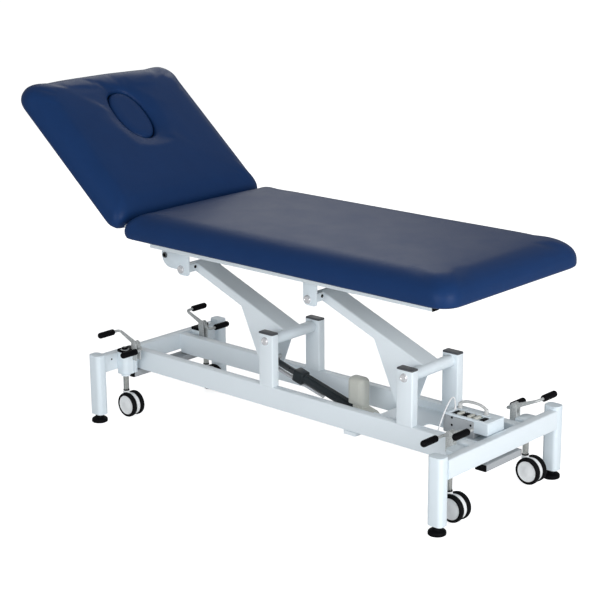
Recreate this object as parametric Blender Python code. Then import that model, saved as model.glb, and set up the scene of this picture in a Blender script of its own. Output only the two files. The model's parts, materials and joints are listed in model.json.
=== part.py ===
"""Electric examination table: a two-section couch on a parallel-arm lift, with castors that pedals lower.

Metres, +Z up, +X towards the foot end and -Y the near side. Every piece hangs from an empty on its own
joint axis, and the last function slides the whole table so that the middle of its outline is the origin.
"""

import math

import bmesh
import bpy
from mathutils import Matrix, Vector
from mathutils.geometry import interpolate_bezier

SEAT = 0.0003  # gap between pieces that rest on one another
RUNNING = 0.0004  # gap round a pin in its bore
SIDE_PLAY = 0.0005  # gap beside a piece that turns between two others
BITE = 0.001  # depth by which welded shapes run into one another
WALL = 0.002  # wall of the steel tubes
TUBE_CORNER = 0.004  # outer corner of the steel tubes

BASE_LENGTH = 1.488  # over the legs
BASE_WIDTH = 0.614
LEG_ALONG = 0.052
LEG_ACROSS = 0.040
LEG_CORNER = 0.014
LEG_TOP = 0.226
LEG_DOME = 0.010
FOOT_HEIGHT = 0.028
FOOT_RADIUS = 0.027
BEAM_HEIGHT = 0.060
BEAM_THICK = 0.030
BEAM_TOP = 0.225
BEAM_LAP = 0.006  # beam end that wraps round the leg's corner
RAIL_HEIGHT = 0.070
RAIL_THICK = 0.030
RAIL_TOP = 0.222
RAILS_WIDTH = 0.252  # over both rails
POST_ALONG = 0.060
POST_OVER_PIVOT = 0.022
CAP_THICK = 0.006

LIFT_X = -0.094  # first lower pivot, from the middle of the base
LIFT_PITCH = 0.560
PIVOT_Z = 0.370
ARM_LENGTH = 0.435
ARM_ANGLE = math.radians(21.6)
ARM_WIDTH = 0.080
ARM_PLATE = 0.003
ARM_DEPTH = 0.0285
PIVOT_TUBE_RADIUS = 0.019
SHAFT_RADIUS = 0.010
BOLT_HEAD_RADIUS = 0.012
BOLT_HEAD = 0.006
ARM_BAR = 0.028  # square bar across an arm's upper end
PIN_RADIUS = 0.008
EYE_ALONG = 0.042  # lever eye, from the lower pivot along the arm
EYE_BELOW = 0.130
LEVER_ROUND = 0.020
LEVER_REACH = 0.197

ACTUATOR_X = 0.255  # rear pin
ACTUATOR_Z = 0.150
ACTUATOR_TUBE_RADIUS = 0.0155
ROD_RADIUS = 0.010
GUIDE_RADIUS = 0.0055
ROD_EYE_RADIUS = 0.016
ROD_EYE_WIDTH = 0.026
GEAR_WIDTH = 0.048
GEAR_LENGTH = 0.076
GEAR_DEPTH = 0.024
COLLAR_START = 0.149  # collar's near end, from the rod's eye
COLLAR_END = 0.107
COLLAR_LIP = 0.003
COLLAR_CORNER = 0.006
BORE_STOP = 0.014
ROD_IN = 0.235  # rod's inner end, from its eye
LINK_THICK = 0.007
NECK_NEAR = 0.040
NECK_FAR = 0.078
NECK_LOW = 0.010
MOUNT_AHEAD = 0.058  # bracket's tube from the rear pin
MOUNT_ABOVE = 0.022
MOUNT_FOOT_LENGTH = 0.047  # bracket's feet under the rails
MOUNT_FOOT_THICK = 0.012
MOTOR_WIDTH = 0.046
MOTOR_TOP = 0.283
MOTOR_HEIGHT = 0.087
MOTOR_ALONG = 0.066
MOTOR_BACK = 0.068
MOTOR_CORNER = 0.018
MOTOR_ROUND = 0.018

TOP_RAIL_HEIGHT = 0.060
TOP_RAIL_THICK = 0.030
TOP_RAIL_LENGTH = 1.154
TOP_RAIL_RISE = 0.0865  # rail's underside above the arms' upper pivots
TOP_RAIL_OVERHANG = 0.034  # rail past the first upper pivot
CROSS_TUBE = 0.040
BRACKETS_WIDTH = 0.196
BRACKET_PLATE = 0.006
BRACKET_ALONG = 0.056
BRACKET_ROUND = 0.0195
WING_LENGTH = 0.0725
WING_HEIGHT = 0.053
WING_ROUND = 0.045
WING_DROP = 0.003

CUSHION_WIDTH = 0.670
CUSHION_THICK = 0.070
CUSHION_CROWN = 0.006
HINGE_CORNER = 0.030  # plan corners of the cushions
FOOT_CORNER = 0.058
HEAD_CORNER = 0.060
TOP_RAIL_INSET = 0.135  # top rails in from the cushion's sides
TOP_RAILS_WIDTH = CUSHION_WIDTH - 2 * TOP_RAIL_INSET
BODY_LENGTH = 1.304
HEAD_LENGTH = 0.610
HEAD_TILT = math.radians(40.1)
HINGE_RISE = 0.0256  # hinge pin above the cushions' underside
HINGE_PLATE = 0.003
HINGE_BARREL_RADIUS = 0.007
HINGE_PIN_RADIUS = 0.004
EAR_INSET = 0.028
EAR_WIDTH = CUSHION_WIDTH - 2 * EAR_INSET  # over both hinge ears
EAR_RISE = 0.0105
EAR_NOTCH = 0.012
BARREL_INSET = 0.017
HEAD_GAP = 0.0125  # hinge pin to the head cushion
HEAD_RAIL = 0.024
HEAD_RAIL_INSET = 0.0955
HEAD_RAILS_WIDTH = CUSHION_WIDTH - 2 * HEAD_RAIL_INSET
HEAD_RAIL_LENGTH = 0.486
PLUG_LENGTH = 0.215
PLUG_WIDTH = 0.135
PLUG_ALONG = 0.399  # middle of the plug from the cushion's lower end
PLUG_GAP = 0.0004
PLUG_ROUND = 0.010
DISH_WIDTH = 0.022  # hollow round the face hole
DISH_DEPTH = 0.014

SPRING_PIN_BACK = 0.0735  # lower pin behind the first upper pivot
SPRING_PIN_RISE = 0.038
SPRING_PIN_RADIUS = 0.006
SPRING_ANCHOR_ALONG = 0.217
SPRING_ANCHOR_DROP = 0.052  # upper anchor below the head cushion
SPRING_RADIUS = 0.011
SPRING_EYE_RADIUS = 0.009
SPRING_ROD_RADIUS = 0.005
SPRING_BODY = 0.175
SPRING_BORE = 0.016
SPRING_ROD_START = 0.104

STEM_INSET = 0.058  # castor stem from the end of the base
STEM_SIDE_INSET = 0.116  # castor stem from the side of the base
STEM_Y = BASE_WIDTH / 2 - STEM_SIDE_INSET
STEM_RADIUS = 0.0095
HOUSING_LENGTH = 0.0645
HOUSING_BOTTOM = 0.150
HOUSING_TOP = 0.221
HOUSING_ROUND = 0.0165  # corners, and the end past the stem's middle
HOUSING_REACH = 0.062
GUIDE_CAP = 0.013
FORK_TOP = 0.112
SPIGOT_RADIUS = 0.006
SPIGOT_LENGTH = 0.038
HUB_RADIUS = 0.014
WHEEL_RADIUS = 0.040
WHEEL_WIDTH = 0.017
WHEEL_Z = 0.050
CASTOR_TRAIL = 0.022
HOOD_WIDTH = 0.015
AXLE_RADIUS = 0.005
PEDAL_INSET = 0.078  # pedal pivot from the end of the base
PEDAL_Z = 0.253
PEDAL_TILT = math.radians(23.0)
PEDAL_LONG = 0.0863  # pivot to the outer grip
PEDAL_SHORT = 0.0347
PEDAL_PLATE = 0.008
PEDAL_PIN_RADIUS = 0.005
CLEVIS_PLATE = 0.005
CLEVIS_ROUND = 0.012
CLEVIS_BEHIND = 0.032  # pedal's plane from the stem
CLEVIS_Y = STEM_Y - CLEVIS_BEHIND
DRIVE_REACH = 0.0372
DRIVE_RADIUS = 0.0035
DOG_WALL = 0.004
GRIP_RADIUS = 0.0095
GRIP_LENGTH = 0.068
GRIP_BEHIND = 0.004  # grips' inner ends from the stem
GRIP_ROOT = STEM_Y - GRIP_BEHIND

SHELF_THICK = 0.003
SHELF_DROP = 0.023  # shelf below the rails' tops
SHELF_AHEAD = 0.140  # shelf's open end, from the second lower pivot
SHELF_SLOT_LENGTH = 0.105
SHELF_SLOT_WIDTH = 0.046
SHELF_SLOT_Y = -0.032
SHELF_SLOT_LAP = 0.031  # slot's end under the box
BOX_HEAD_GAP = 0.219  # shelf in front of the box
BOX_FOOT_GAP = 0.006
BOX_CORNER = 0.008
BOX_WIDTH = 0.083
BOX_HEIGHT = 0.0605
BOX_MIDDLE_Y = 0.0035
BOX_OVERHANG = 0.035  # foot end past the part that stands on the shelf
BOX_STEP = 0.019
THICK_CABLE = 0.0045
THIN_CABLE = 0.0022
LOOP_RISE = 0.032
ARCH_RISE = 0.080

ENDS = (("head", -1), ("foot", 1))
SIDES = (("near", -1), ("far", 1))


def along_axis(axis, a, b, c):
    """Point whose place along the axis is c and whose other two coordinates are a and b."""
    return {"X": (c, a, b), "Y": (a, c, b), "Z": (a, b, c)}[axis]


def rounded(width, depth, radius, centre=(0.0, 0.0), steps=2):
    """Outline of a rectangle with round corners."""
    points = []
    for quarter, (side_a, side_b) in enumerate(((1, 1), (-1, 1), (-1, -1), (1, -1))):
        corner_a = centre[0] + side_a * (width / 2 - radius)
        corner_b = centre[1] + side_b * (depth / 2 - radius)
        points += arc((corner_a, corner_b), radius, 90 * quarter, 90 * quarter + 90, steps)
    return points


def arc(centre, radius, start, end, steps):
    """Points on an arc, from the start angle to the end angle in degrees."""
    points = []
    for step in range(steps + 1):
        angle = math.radians(start + (end - start) * step / steps)
        points.append((centre[0] + radius * math.cos(angle), centre[1] + radius * math.sin(angle)))
    return points


def circle(radius, centre=(0.0, 0.0), steps=16):
    return arc(centre, radius, 0, 360 - 360 / steps, steps - 1)


def mesh_object(mesh_builder):
    """Object in the scene made from the bmesh, with its faces turned outwards."""
    bmesh.ops.remove_doubles(mesh_builder, verts=mesh_builder.verts, dist=1e-6)
    bmesh.ops.recalc_face_normals(mesh_builder, faces=mesh_builder.faces)
    mesh = bpy.data.meshes.new("shape")
    mesh_builder.to_mesh(mesh)
    mesh_builder.free()
    made = bpy.data.objects.new("shape", mesh)
    bpy.context.scene.collection.objects.link(made)
    return made


def loft(rings, ring_closed=False):
    """Solid through rings of points; a closed loop of rings needs no caps."""
    builder = bmesh.new()
    loops = [[builder.verts.new(point) for point in ring] for ring in rings]
    pairs = list(zip(loops, loops[1:]))
    if ring_closed:
        pairs.append((loops[-1], loops[0]))
    else:
        builder.faces.new(loops[0])
        builder.faces.new(loops[-1])
    for low, high in pairs:
        for index in range(len(low)):
            after = (index + 1) % len(low)
            builder.faces.new((low[index], low[after], high[after], high[index]))
    return mesh_object(builder)


def prism(outline, low, high, axis="Y"):
    """Outline pulled along an axis."""
    return loft([[along_axis(axis, a, b, level) for a, b in outline] for level in (low, high)])


def tube(outer, inner, low, high, axis):
    """Open-ended tube between two outlines that have the same number of points."""
    rings = ((outer, low), (outer, high), (inner, high), (inner, low))
    return loft([[along_axis(axis, a, b, level) for a, b in line] for line, level in rings], True)


def steel_tube(width, depth, centre, low, high, axis):
    """Rectangular steel tube with the usual wall and corners."""
    outer = rounded(width, depth, TUBE_CORNER, centre)
    inner = rounded(width - 2 * WALL, depth - 2 * WALL, TUBE_CORNER - WALL, centre)
    return tube(outer, inner, low, high, axis)


def block(low, high):
    """Box between two corners."""
    outline = [(low[0], low[1]), (high[0], low[1]), (high[0], high[1]), (low[0], high[1])]
    return prism(outline, low[2], high[2], "Z")


def bar(radius, centre, low, high, axis="Y", steps=12):
    """Round bar along an axis."""
    return prism(circle(radius, centre, steps), low, high, axis)


def turned(profile, centre, axis="Y", steps=12):
    """Turned piece through (radius, place along the axis) pairs."""
    return loft([[along_axis(axis, a, b, level) for a, b in circle(radius, centre, steps)]
                 for radius, level in profile])


def combine(base, tools, operation):
    """Base with the tools joined to it or cut from it."""
    for tool in tools:
        modifier = base.modifiers.new("combine", "BOOLEAN")
        modifier.object = tool
        modifier.operation = operation
        modifier.solver = "EXACT"
        with bpy.context.temp_override(object=base):
            bpy.ops.object.modifier_apply(modifier=modifier.name)
        bpy.data.objects.remove(tool)
    return base


def join(base, *tools):
    return combine(base, tools, "UNION")


def cut(base, *tools):
    return combine(base, tools, "DIFFERENCE")


def paint(name, colour, roughness, metallic=0.0):
    """Principled material."""
    made = bpy.data.materials.new(name)
    made.use_nodes = True
    shader = made.node_tree.nodes["Principled BSDF"]
    shader.inputs["Base Color"].default_value = (*colour, 1.0)
    shader.inputs["Roughness"].default_value = roughness
    shader.inputs["Metallic"].default_value = metallic
    return made


def pivot(name, place, tilt=0.0):
    """Empty on a joint axis, turned about Y."""
    whole = bpy.data.objects.get("table")
    made = bpy.data.objects.new(name, None)
    bpy.context.scene.collection.objects.link(made)
    made.location = place
    made.rotation_euler.y = tilt
    made.parent = whole
    return made


def finish(made, name, material, parent, in_table=True):
    """Name, material and parent of a piece; in_table says that its points aren't yet about the parent."""
    made.name = name
    made.data.name = name
    made.data.materials.clear()
    made.data.materials.append(material)
    if in_table:
        made.data.transform(Matrix.Translation(-parent.location))
    made.data.shade_smooth()
    made.data.set_sharp_from_angle(angle=math.radians(32))
    made.parent = parent
    return made


def lower_pivots():
    return [(LIFT_X, PIVOT_Z), (LIFT_X + LIFT_PITCH, PIVOT_Z)]


def upper_pivots():
    run = ARM_LENGTH * math.cos(ARM_ANGLE)
    rise = ARM_LENGTH * math.sin(ARM_ANGLE)
    return [(x - run, z + rise) for x, z in lower_pivots()]


def cushion_bottom():
    return upper_pivots()[0][1] + TOP_RAIL_RISE + TOP_RAIL_HEIGHT + SEAT


def hinge():
    """Hinge pin's place along and above."""
    rail_end = upper_pivots()[0][0] - TOP_RAIL_OVERHANG
    return rail_end - SEAT - HINGE_PLATE / 2, cushion_bottom() + HINGE_RISE


def actuator_eye():
    """Place of the first arm's lever eye, along and above."""
    x, z = lower_pivots()[0]
    along = EYE_ALONG * math.cos(ARM_ANGLE) + EYE_BELOW * math.sin(ARM_ANGLE)
    above = EYE_ALONG * math.sin(ARM_ANGLE) - EYE_BELOW * math.cos(ARM_ANGLE)
    return x - along, z + above


def spring_ends():
    """Lower pin and upper anchor of the gas spring, each along and above."""
    x, z = upper_pivots()[0]
    hinge_x, hinge_z = hinge()
    below = HINGE_RISE + SPRING_ANCHOR_DROP
    anchor_x = hinge_x - SPRING_ANCHOR_ALONG * math.cos(HEAD_TILT) - below * math.sin(HEAD_TILT)
    anchor_z = hinge_z + SPRING_ANCHOR_ALONG * math.sin(HEAD_TILT) - below * math.cos(HEAD_TILT)
    return (x - SPRING_PIN_BACK, z + SPRING_PIN_RISE), (anchor_x, anchor_z)


def span(start, end):
    """Length and tilt about Y of a line that leaves its start towards -X."""
    along = start[0] - end[0]
    above = end[1] - start[1]
    return math.hypot(along, above), math.atan2(above, along)


def make_legs(steel, rubber, table):
    """Legs with domed tops, and levelling feet plugged into them."""
    for end, out in ENDS:
        for side, across in SIDES:
            centre = (out * (BASE_LENGTH - LEG_ALONG) / 2, across * (BASE_WIDTH - LEG_ACROSS) / 2)
            leg = loft([[along_axis("Z", a, b, level) for a, b in leg_outline(inset, centre)] for inset, level in (
                (WALL, LEG_TOP - WALL), (WALL, FOOT_HEIGHT), (0.0, FOOT_HEIGHT), (0.0, LEG_TOP),
                (LEG_DOME / 4, LEG_TOP + LEG_DOME / 2), (LEG_DOME, LEG_TOP + LEG_DOME * 0.9),
                (LEG_DOME * 1.3, LEG_TOP + LEG_DOME))])
            finish(leg, f"leg_{end}_{side}", steel, table)
            neck = FOOT_RADIUS * 0.52
            foot = turned(((FOOT_RADIUS * 0.95, 0.0), (FOOT_RADIUS, 0.002), (FOOT_RADIUS, FOOT_HEIGHT * 0.3),
                           (FOOT_RADIUS * 0.8, FOOT_HEIGHT * 0.45), (neck, FOOT_HEIGHT * 0.5),
                           (neck, FOOT_HEIGHT + BITE)), centre, "Z", 18)
            plug = prism(leg_outline(WALL + SEAT, centre), FOOT_HEIGHT, FOOT_HEIGHT * 1.6, "Z")
            finish(join(foot, plug), f"levelling_foot_{end}_{side}", rubber, table)


def leg_outline(inset, centre):
    """Leg's section drawn in by an inset, or let out by a negative one."""
    return rounded(LEG_ALONG - 2 * inset, LEG_ACROSS - 2 * inset, max(LEG_CORNER - inset, BITE), centre, 3)


def make_base(steel, cap_plastic, table):
    """End beams with their castor housings, long rails, posts and post caps."""
    for end, out in ENDS:
        make_beam(end, out, steel, table)
    rail_end = BASE_LENGTH / 2 - BEAM_THICK - SEAT
    for side, across in SIDES:
        rail_y = across * (RAILS_WIDTH - RAIL_THICK) / 2
        rail = steel_tube(RAIL_THICK, RAIL_HEIGHT, (rail_y, RAIL_TOP - RAIL_HEIGHT / 2), -rail_end, rail_end, "X")
        finish(rail, f"base_rail_{side}", steel, table)
        for place, (x, z) in zip(("head", "foot"), lower_pivots()):
            top = z + POST_OVER_PIVOT
            post = steel_tube(POST_ALONG, RAIL_THICK, (x, rail_y), RAIL_TOP + SEAT, top, "Z")
            cut(post, bar(SHAFT_RADIUS + RUNNING, (x, z), rail_y - RAIL_THICK, rail_y + RAIL_THICK))
            finish(post, f"post_{place}_{side}", steel, table)
            inner = rounded(POST_ALONG - 2 * (WALL + SEAT), RAIL_THICK - 2 * (WALL + SEAT), WALL, (x, rail_y))
            flat = rounded(POST_ALONG, RAIL_THICK, TUBE_CORNER, (x, rail_y))
            domed = rounded(POST_ALONG - 2 * CAP_THICK, RAIL_THICK - 2 * CAP_THICK, TUBE_CORNER / 2, (x, rail_y))
            levels = ((inner, top - CAP_THICK), (inner, top + SEAT), (flat, top + SEAT),
                      (flat, top + CAP_THICK / 2), (domed, top + CAP_THICK))
            cap = loft([[along_axis("Z", a, b, level) for a, b in line] for line, level in levels])
            finish(cap, f"post_cap_{place}_{side}", cap_plastic, table)


def make_beam(end, out, steel, table):
    """End beam between two legs, with both castor housings, their pedal clevises and the tube hung below."""
    beam_x = out * (BASE_LENGTH - BEAM_THICK) / 2
    half = BASE_WIDTH / 2 - LEG_ACROSS + BEAM_LAP
    beam = steel_tube(BEAM_THICK, BEAM_HEIGHT, (beam_x, BEAM_TOP - BEAM_HEIGHT / 2), -half, half, "Y")
    inner_face = BASE_LENGTH / 2 - BEAM_THICK
    housing_x = out * (inner_face + BITE - HOUSING_REACH / 2)
    pedal_x = out * (BASE_LENGTH / 2 - PEDAL_INSET)
    cap_top = HOUSING_TOP + GUIDE_CAP
    for side, across in SIDES:
        leg_middle = (out * (BASE_LENGTH - LEG_ALONG) / 2, across * (BASE_WIDTH - LEG_ACROSS) / 2)
        cut(beam, prism(leg_outline(-SEAT, leg_middle), 0.0, LEG_TOP + BEAM_TOP, "Z"))
        middle = (housing_x, across * (STEM_Y + HOUSING_ROUND - HOUSING_LENGTH / 2))
        housing = rounded(HOUSING_REACH, HOUSING_LENGTH, HOUSING_ROUND, middle, 4)
        cap = rounded(HOUSING_REACH - 3 * BITE, HOUSING_LENGTH - 3 * BITE, HOUSING_ROUND, middle, 4)
        join(beam, prism(housing, HOUSING_BOTTOM, HOUSING_TOP, "Z"), prism(cap, HOUSING_TOP - BITE, cap_top, "Z"))
        for plate_side in (-1, 1):
            plate_y = across * CLEVIS_Y + plate_side * (PEDAL_PLATE / 2 + 4 * SIDE_PLAY + CLEVIS_PLATE / 2)
            outline = [(pedal_x - CLEVIS_ROUND, cap_top - BITE), (pedal_x + CLEVIS_ROUND, cap_top - BITE)]
            outline += arc((pedal_x, PEDAL_Z), CLEVIS_ROUND, 0, 180, 8)
            join(beam, prism(outline, plate_y - CLEVIS_PLATE / 2, plate_y + CLEVIS_PLATE / 2))
        stem_x = out * (BASE_LENGTH / 2 - STEM_INSET)
        cut(beam,
            bar(STEM_RADIUS + RUNNING, (stem_x, across * STEM_Y), HOUSING_BOTTOM - BITE, cap_top + BITE, "Z", 20),
            bar(PEDAL_PIN_RADIUS + RUNNING, (pedal_x, PEDAL_Z), across * CLEVIS_Y - CLEVIS_ROUND * 2,
                across * CLEVIS_Y + CLEVIS_ROUND * 2, steps=12))
    hung_half = BASE_WIDTH * 0.14
    hung_x = out * (BASE_LENGTH / 2 - BEAM_THICK * 0.75)
    beam_bottom = BEAM_TOP - BEAM_HEIGHT
    hung_depth = BEAM_HEIGHT * 0.36
    hung = rounded(CROSS_TUBE, hung_depth, TUBE_CORNER, (hung_x, beam_bottom - hung_depth))
    join(beam, prism(hung, -hung_half, hung_half))
    for across in (-1, 1):
        lug_y = across * hung_half * 0.7
        join(beam, block((hung_x - TUBE_CORNER * 2, lug_y - TUBE_CORNER, beam_bottom - hung_depth),
                         (hung_x + TUBE_CORNER * 2, lug_y + TUBE_CORNER, beam_bottom + BITE)))
    finish(beam, f"end_beam_{end}", steel, table)


def lever_outline():
    """Side of an arm, with the lower pivot at the origin and the arm running towards -X."""
    eye = (EYE_ALONG, -EYE_BELOW)
    reach = (LEVER_REACH, PIVOT_TUBE_RADIUS - BITE - ARM_DEPTH)
    distance = math.hypot(reach[0] - eye[0], reach[1] - eye[1])
    bearing = math.atan2(reach[1] - eye[1], reach[0] - eye[0])
    leaves = math.degrees(bearing - math.acos(LEVER_ROUND / distance)) + 360
    top = PIVOT_TUBE_RADIUS - BITE
    points = [(ARM_LENGTH, top), (0.0, top), (0.0, 0.0), (eye[0] - LEVER_ROUND, -PIVOT_TUBE_RADIUS / 2)]
    points += arc(eye, LEVER_ROUND, 180, leaves, 8)
    points += [reach, (ARM_LENGTH, reach[1])]
    return [(-along, above) for along, above in points]


def make_arm(number, steel, parent):
    """Lift arm: a channel whose sides widen into a lever, with its pivot tube, upper bar and pivot bolts."""
    half = ARM_WIDTH / 2
    under = PIVOT_TUBE_RADIUS - BITE - ARM_PLATE
    arm = prism(lever_outline(), -half, half)
    cut(arm, block((-2 * ARM_LENGTH, ARM_PLATE - half, -2 * EYE_BELOW), (ARM_LENGTH, half - ARM_PLATE, under)))
    post_inner = RAILS_WIDTH / 2 - RAIL_THICK
    post_outer = RAILS_WIDTH / 2
    tube_half = post_inner - SIDE_PLAY
    join(arm, bar(PIVOT_TUBE_RADIUS, (0.0, 0.0), -tube_half, tube_half, steps=20))
    head_half = post_outer + SEAT + BOLT_HEAD
    join(arm, bar(SHAFT_RADIUS, (0.0, 0.0), -head_half, head_half))
    upper = (-ARM_LENGTH, 0.0)
    turn = math.cos(ARM_ANGLE), math.sin(ARM_ANGLE)
    square = []
    for a, b in rounded(ARM_BAR, ARM_BAR, TUBE_CORNER / 2):
        square.append((upper[0] + a * turn[0] - b * turn[1], upper[1] + a * turn[1] + b * turn[0]))
    bar_half = BRACKETS_WIDTH / 2 - BRACKET_PLATE - SIDE_PLAY
    join(arm, prism(square, -bar_half, bar_half))
    pin_half = BRACKETS_WIDTH / 2 + SEAT + BOLT_HEAD
    join(arm, bar(PIN_RADIUS, upper, -pin_half, pin_half))
    for across in (-1, 1):
        join(arm, turned(((BOLT_HEAD_RADIUS, across * (post_outer + SEAT)),
                          (BOLT_HEAD_RADIUS, across * (head_half - BITE)),
                          (BOLT_HEAD_RADIUS * 0.8, across * (head_half + BITE))), (0.0, 0.0)))
        join(arm, turned(((BOLT_HEAD_RADIUS, across * (BRACKETS_WIDTH / 2 + SEAT)),
                          (BOLT_HEAD_RADIUS, across * (pin_half - BITE)),
                          (BOLT_HEAD_RADIUS * 0.8, across * (pin_half + BITE))), upper))
        eye = (-EYE_ALONG, -EYE_BELOW)
        if number == 1:
            start = across * (ROD_EYE_WIDTH / 2 + 3 * SIDE_PLAY)
            join(arm, bar(PIN_RADIUS, eye, start, across * (half + BOLT_HEAD)))
        else:
            cut(arm, bar(PIN_RADIUS, eye, across * half * 0.8, across * half * 1.2))
    finish(arm, f"lift_arm_{number}", steel, parent, in_table=False)


def make_actuator(charcoal, beige, dark_steel, steel, table):
    """Bracket on the base, then the actuator's tube with gear housing, its motor, and its rod."""
    rear = (ACTUATOR_X, ACTUATOR_Z)
    length, tilt = span(rear, actuator_eye())
    body = pivot("actuator_pivot", (rear[0], 0.0, rear[1]), tilt)
    gear_half = GEAR_WIDTH / 2
    gear_end = GEAR_LENGTH
    collar_start = length - COLLAR_START
    collar_end = length - COLLAR_END
    gear_deep = GEAR_DEPTH
    shell = prism(arc((0.0, 0.0), ROD_EYE_RADIUS, 270, 450, 10)
                  + [(-ROD_EYE_RADIUS, gear_deep), (-gear_end, gear_deep),
                     (-gear_end, -gear_deep), (-ROD_EYE_RADIUS, -gear_deep)], -gear_half, gear_half)
    join(shell, bar(ACTUATOR_TUBE_RADIUS, (0.0, 0.0), -collar_end, -gear_end + BITE, "X", 20))
    guide_drop = ACTUATOR_TUBE_RADIUS + 2 * SIDE_PLAY + GUIDE_RADIUS
    collar_half = ACTUATOR_TUBE_RADIUS + COLLAR_LIP
    collar = rounded(2 * collar_half, collar_half + guide_drop, COLLAR_CORNER, (0.0, (collar_half - guide_drop) / 2))
    join(shell, prism(collar, -collar_end, -collar_start, "X"))
    neck_top = MOTOR_TOP - ACTUATOR_Z - MOTOR_HEIGHT
    neck = block((-NECK_FAR, -gear_half * 0.8, NECK_LOW), (-NECK_NEAR, gear_half * 0.8, neck_top))
    neck.data.transform(Matrix.Rotation(-tilt, 4, "Y"))
    join(shell, neck)
    bore_start = gear_end + BORE_STOP
    cut(shell,
        bar(SPRING_PIN_RADIUS + RUNNING, (0.0, 0.0), -GEAR_WIDTH, GEAR_WIDTH, steps=16),
        bar(ROD_RADIUS + RUNNING, (0.0, 0.0), -length, -bore_start, "X", 16),
        bar(GUIDE_RADIUS + RUNNING, (0.0, -guide_drop), -length, -collar_start + BITE, "X", 12))
    finish(shell, "actuator_tube", charcoal, body, in_table=False)

    motor_middle = (-MOTOR_BACK, 0.0)
    top = neck_top + MOTOR_HEIGHT
    levels = ((0.0, neck_top + SEAT), (0.0, top - 1.2 * MOTOR_ROUND), (0.14 * MOTOR_ROUND, top - 0.55 * MOTOR_ROUND),
              (0.45 * MOTOR_ROUND, top - 0.18 * MOTOR_ROUND), (MOTOR_ROUND, top))
    motor = loft([[along_axis("Z", a, b, level)
                   for a, b in rounded(MOTOR_ALONG - 2 * inset, MOTOR_WIDTH - 2 * inset, max(MOTOR_CORNER - inset, TUBE_CORNER),
                                       motor_middle, 4)] for inset, level in levels])
    motor.data.transform(Matrix.Rotation(-tilt, 4, "Y"))
    finish(motor, "actuator_motor", beige, body, in_table=False)

    eye_half = ROD_EYE_WIDTH / 2
    rod_start = length - ROD_IN
    link_end = length - ROD_EYE_RADIUS
    rod = bar(ROD_RADIUS, (0.0, 0.0), -link_end - BITE, -rod_start, "X", 16)
    join(rod, bar(ROD_EYE_RADIUS, (-length, 0.0), -eye_half, eye_half, steps=20),
         block((-link_end, -ROD_RADIUS, -guide_drop - GUIDE_RADIUS - BITE), (LINK_THICK - link_end, ROD_RADIUS, ROD_RADIUS)),
         bar(GUIDE_RADIUS, (0.0, -guide_drop), -link_end + BITE, -rod_start, "X", 12))
    cut(rod, bar(SPRING_PIN_RADIUS, (-length, 0.0), -ROD_EYE_WIDTH, ROD_EYE_WIDTH, steps=16))
    finish(rod, "actuator_rod", dark_steel, body, in_table=False)

    between = RAILS_WIDTH / 2 - RAIL_THICK - SEAT
    tube_x = ACTUATOR_X + MOUNT_AHEAD
    tube_z = ACTUATOR_Z + MOUNT_ABOVE
    bracket = steel_tube(CROSS_TUBE, CROSS_TUBE, (tube_x, tube_z), -between, between, "Y")
    foot_top = RAIL_TOP - RAIL_HEIGHT - SEAT
    foot_half = MOUNT_FOOT_LENGTH / 2
    for across in (-1, 1):
        lug = arc(rear, ROD_EYE_RADIUS, 100, 260, 8)
        lug += [(tube_x, tube_z - CROSS_TUBE / 2 + BITE), (tube_x, tube_z + CROSS_TUBE / 2 - BITE)]
        start = across * (gear_half + 3 * SIDE_PLAY)
        join(bracket, prism(lug, start, start + across * BRACKET_PLATE))
        foot_ends = sorted((start + across * BRACKET_PLATE / 2, across * RAILS_WIDTH / 2))
        join(bracket, block((rear[0] - foot_half, foot_ends[0], foot_top - MOUNT_FOOT_THICK),
                            (rear[0] + foot_half, foot_ends[1], foot_top)))
    pin_half = gear_half + 3 * SIDE_PLAY + 1.5 * BRACKET_PLATE
    join(bracket, bar(SPRING_PIN_RADIUS, rear, -pin_half, pin_half))
    finish(bracket, "actuator_bracket", steel, table)


def bracket_outline(x, z, top, winged):
    """Plate that hangs from a cross tube and holds an arm's upper pivot; the winged one also holds the spring."""
    left = x - BRACKET_ROUND
    right = left + BRACKET_ALONG
    bottom = z - BRACKET_ROUND
    points = [(right, top), (left, top)]
    if winged:
        wing_top = z - WING_DROP + WING_HEIGHT
        wing_end = left - WING_LENGTH
        points += [(left, wing_top), (wing_end, wing_top)]
        points += arc((wing_end + WING_ROUND, wing_top - WING_HEIGHT + WING_ROUND), WING_ROUND, 180, 270, 8)
        points += [(left, wing_top - WING_HEIGHT)]
    points += arc((x, z), BRACKET_ROUND, 190, 270, 6)
    points += arc((right - LEG_CORNER, bottom + LEG_CORNER), LEG_CORNER, 270, 360, 4)
    return points


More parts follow.
